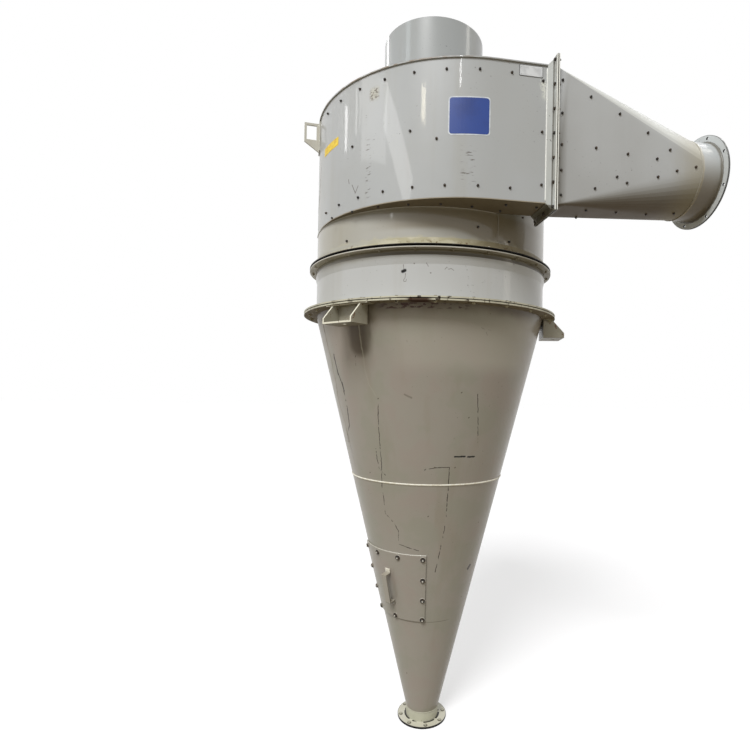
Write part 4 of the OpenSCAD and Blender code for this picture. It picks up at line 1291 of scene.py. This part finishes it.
skim = [
    bm.verts.new((barrel_r + out, 0, foot_z + up)) for out, up in (
        (-0.0008, 0.031), (0.0058, 0.031), (0.0058, -0.001), (0.0046, -0.012), (0.0022, -0.022), (-0.0008, -0.034),
    )
]
edges = [bm.edges.new((start, end)) for start, end in zip(skim, skim[1:] + skim[:1])]
bmesh.ops.spin(
    bm, geom=skim + edges, cent=(0, 0, 0), axis=(0, 0, 1), angle=math.tau, steps=180, use_merge=True
)
bmesh.ops.recalc_face_normals(bm, faces=bm.faces)
ring_foot_skim = new_piece("ring_foot_skim", bm, paint_of_slot["spacer_paint"])
ring_foot_skim.data.shade_smooth()
ring_foot_skim.data.set_sharp_from_angle(angle=math.radians(50))
trim_light = enamel("weld_enamel", srgb(232, 234, 230), srgb(190, 188, 176))
frame_foot_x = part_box("inlet_duct_frame")[0].x
wall_front_y = -scroll_r
bead_along(
    "frame_weld", straight((frame_foot_x, wall_front_y, floor_foot + 0.01), (frame_foot_x, wall_front_y, roof_foot - 0.01), 80),
    0.007, trim_light,
)
door_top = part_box("access_door")[1].z
bead_along(
    "door_bead", [on_cone(-178.5 + 79.8 * i / 90, door_top + 0.001, 0.0025)[0] for i in range(91)], 0.005,
    trim_paint, 0.2,
)

# %% [markdown]
# Three plates sit on the scroll: a riveted plate of brushed grey metal, a yellow sign and a blue one.
# All are left blank. Each starts as a rectangle with its corner points bevelled round, is cut into
# strips, and is then laid on the curve of the wall.

# %% Paint for the plates
plate_metal = plain_finish("brushed_plate", srgb(206, 208, 210), srgb(186, 188, 190), 30.0, 0.4, 0.2, 0.0002)
plate_rim = plain_finish("plate_rim", srgb(86, 86, 86), srgb(60, 60, 60), 50.0, 0.5)
sign_yellow = plain_finish("sign_yellow", srgb(232, 200, 40), srgb(214, 176, 34), 40.0, 0.45)
sign_blue = plain_finish("sign_blue", srgb(30, 62, 138), srgb(26, 54, 124), 8.0, 0.3)
sign_white = plain_finish("sign_border", srgb(206, 212, 218), srgb(184, 190, 198), 40.0, 0.4)


# %% Lay the blank plates on the scroll
def plate_on_scroll(name, low, high, corner, lift, thickness, material):
    """A thin plate between two places given as (run, height)."""
    width, height = high[0] - low[0], high[1] - low[1]
    shape = Matrix.Translation(((low[0] + high[0]) / 2, (low[1] + high[1]) / 2, 0)) @ Matrix.Diagonal((width, height, 1, 1))
    bm = bmesh.new()
    bmesh.ops.create_grid(bm, x_segments=1, y_segments=1, size=0.5, matrix=shape)
    bmesh.ops.bevel(
        bm, geom=bm.verts[:], offset=corner, offset_type="OFFSET", segments=5, profile=0.5,
        affect="VERTICES", material=-1,
    )
    for step in range(1, 10):
        cut = Vector((low[0] + width * step / 10, 0, 0))
        bmesh.ops.bisect_plane(bm, geom=bm.verts[:] + bm.edges[:] + bm.faces[:], plane_co=cut, plane_no=(1, 0, 0))
    for vert in bm.verts:
        vert.co = on_scroll(vert.co.x, vert.co.y, lift + thickness)[0]
    bmesh.ops.recalc_face_normals(bm, faces=bm.faces)
    outward = on_scroll((low[0] + high[0]) / 2, low[1])[1]
    if bm.faces[:][0].normal.dot(outward) < 0:
        bmesh.ops.reverse_faces(bm, faces=bm.faces)
    bmesh.ops.solidify(bm, geom=bm.faces[:], thickness=thickness)
    return new_piece(name, bm, material)


plate_on_scroll("blank_plate_rim", (0.100, 3.108), (0.205, 3.156), 0.004, 0, 0.0010, plate_rim)
plate_on_scroll("blank_plate", (0.1025, 3.1105), (0.2025, 3.1535), 0.003, 0.0010, 0.0006, plate_metal)
plate_on_scroll("blank_yellow_sign", (-0.940, 2.919), (-0.778, 2.958), 0.004, 0, 0.0006, sign_yellow)
plate_on_scroll("blank_blue_sign_border", (-0.198, 2.840), (-0.022, 3.001), 0.014, 0, 0.0006, sign_white)
plate_on_scroll("blank_blue_sign", (-0.193, 2.845), (-0.027, 2.996), 0.011, 0.0006, 0.0004, sign_blue)
rivet_places = [
    standing(*on_scroll(run, z, 0.0015)) for run in (0.108, 0.197) for z in (3.116, 3.148)
]
rivet = bmesh.new()
bmesh.ops.create_uvsphere(rivet, u_segments=10, v_segments=6, radius=0.002)
stamp("plate_rivets", rivet, rivet_places, plate_metal)
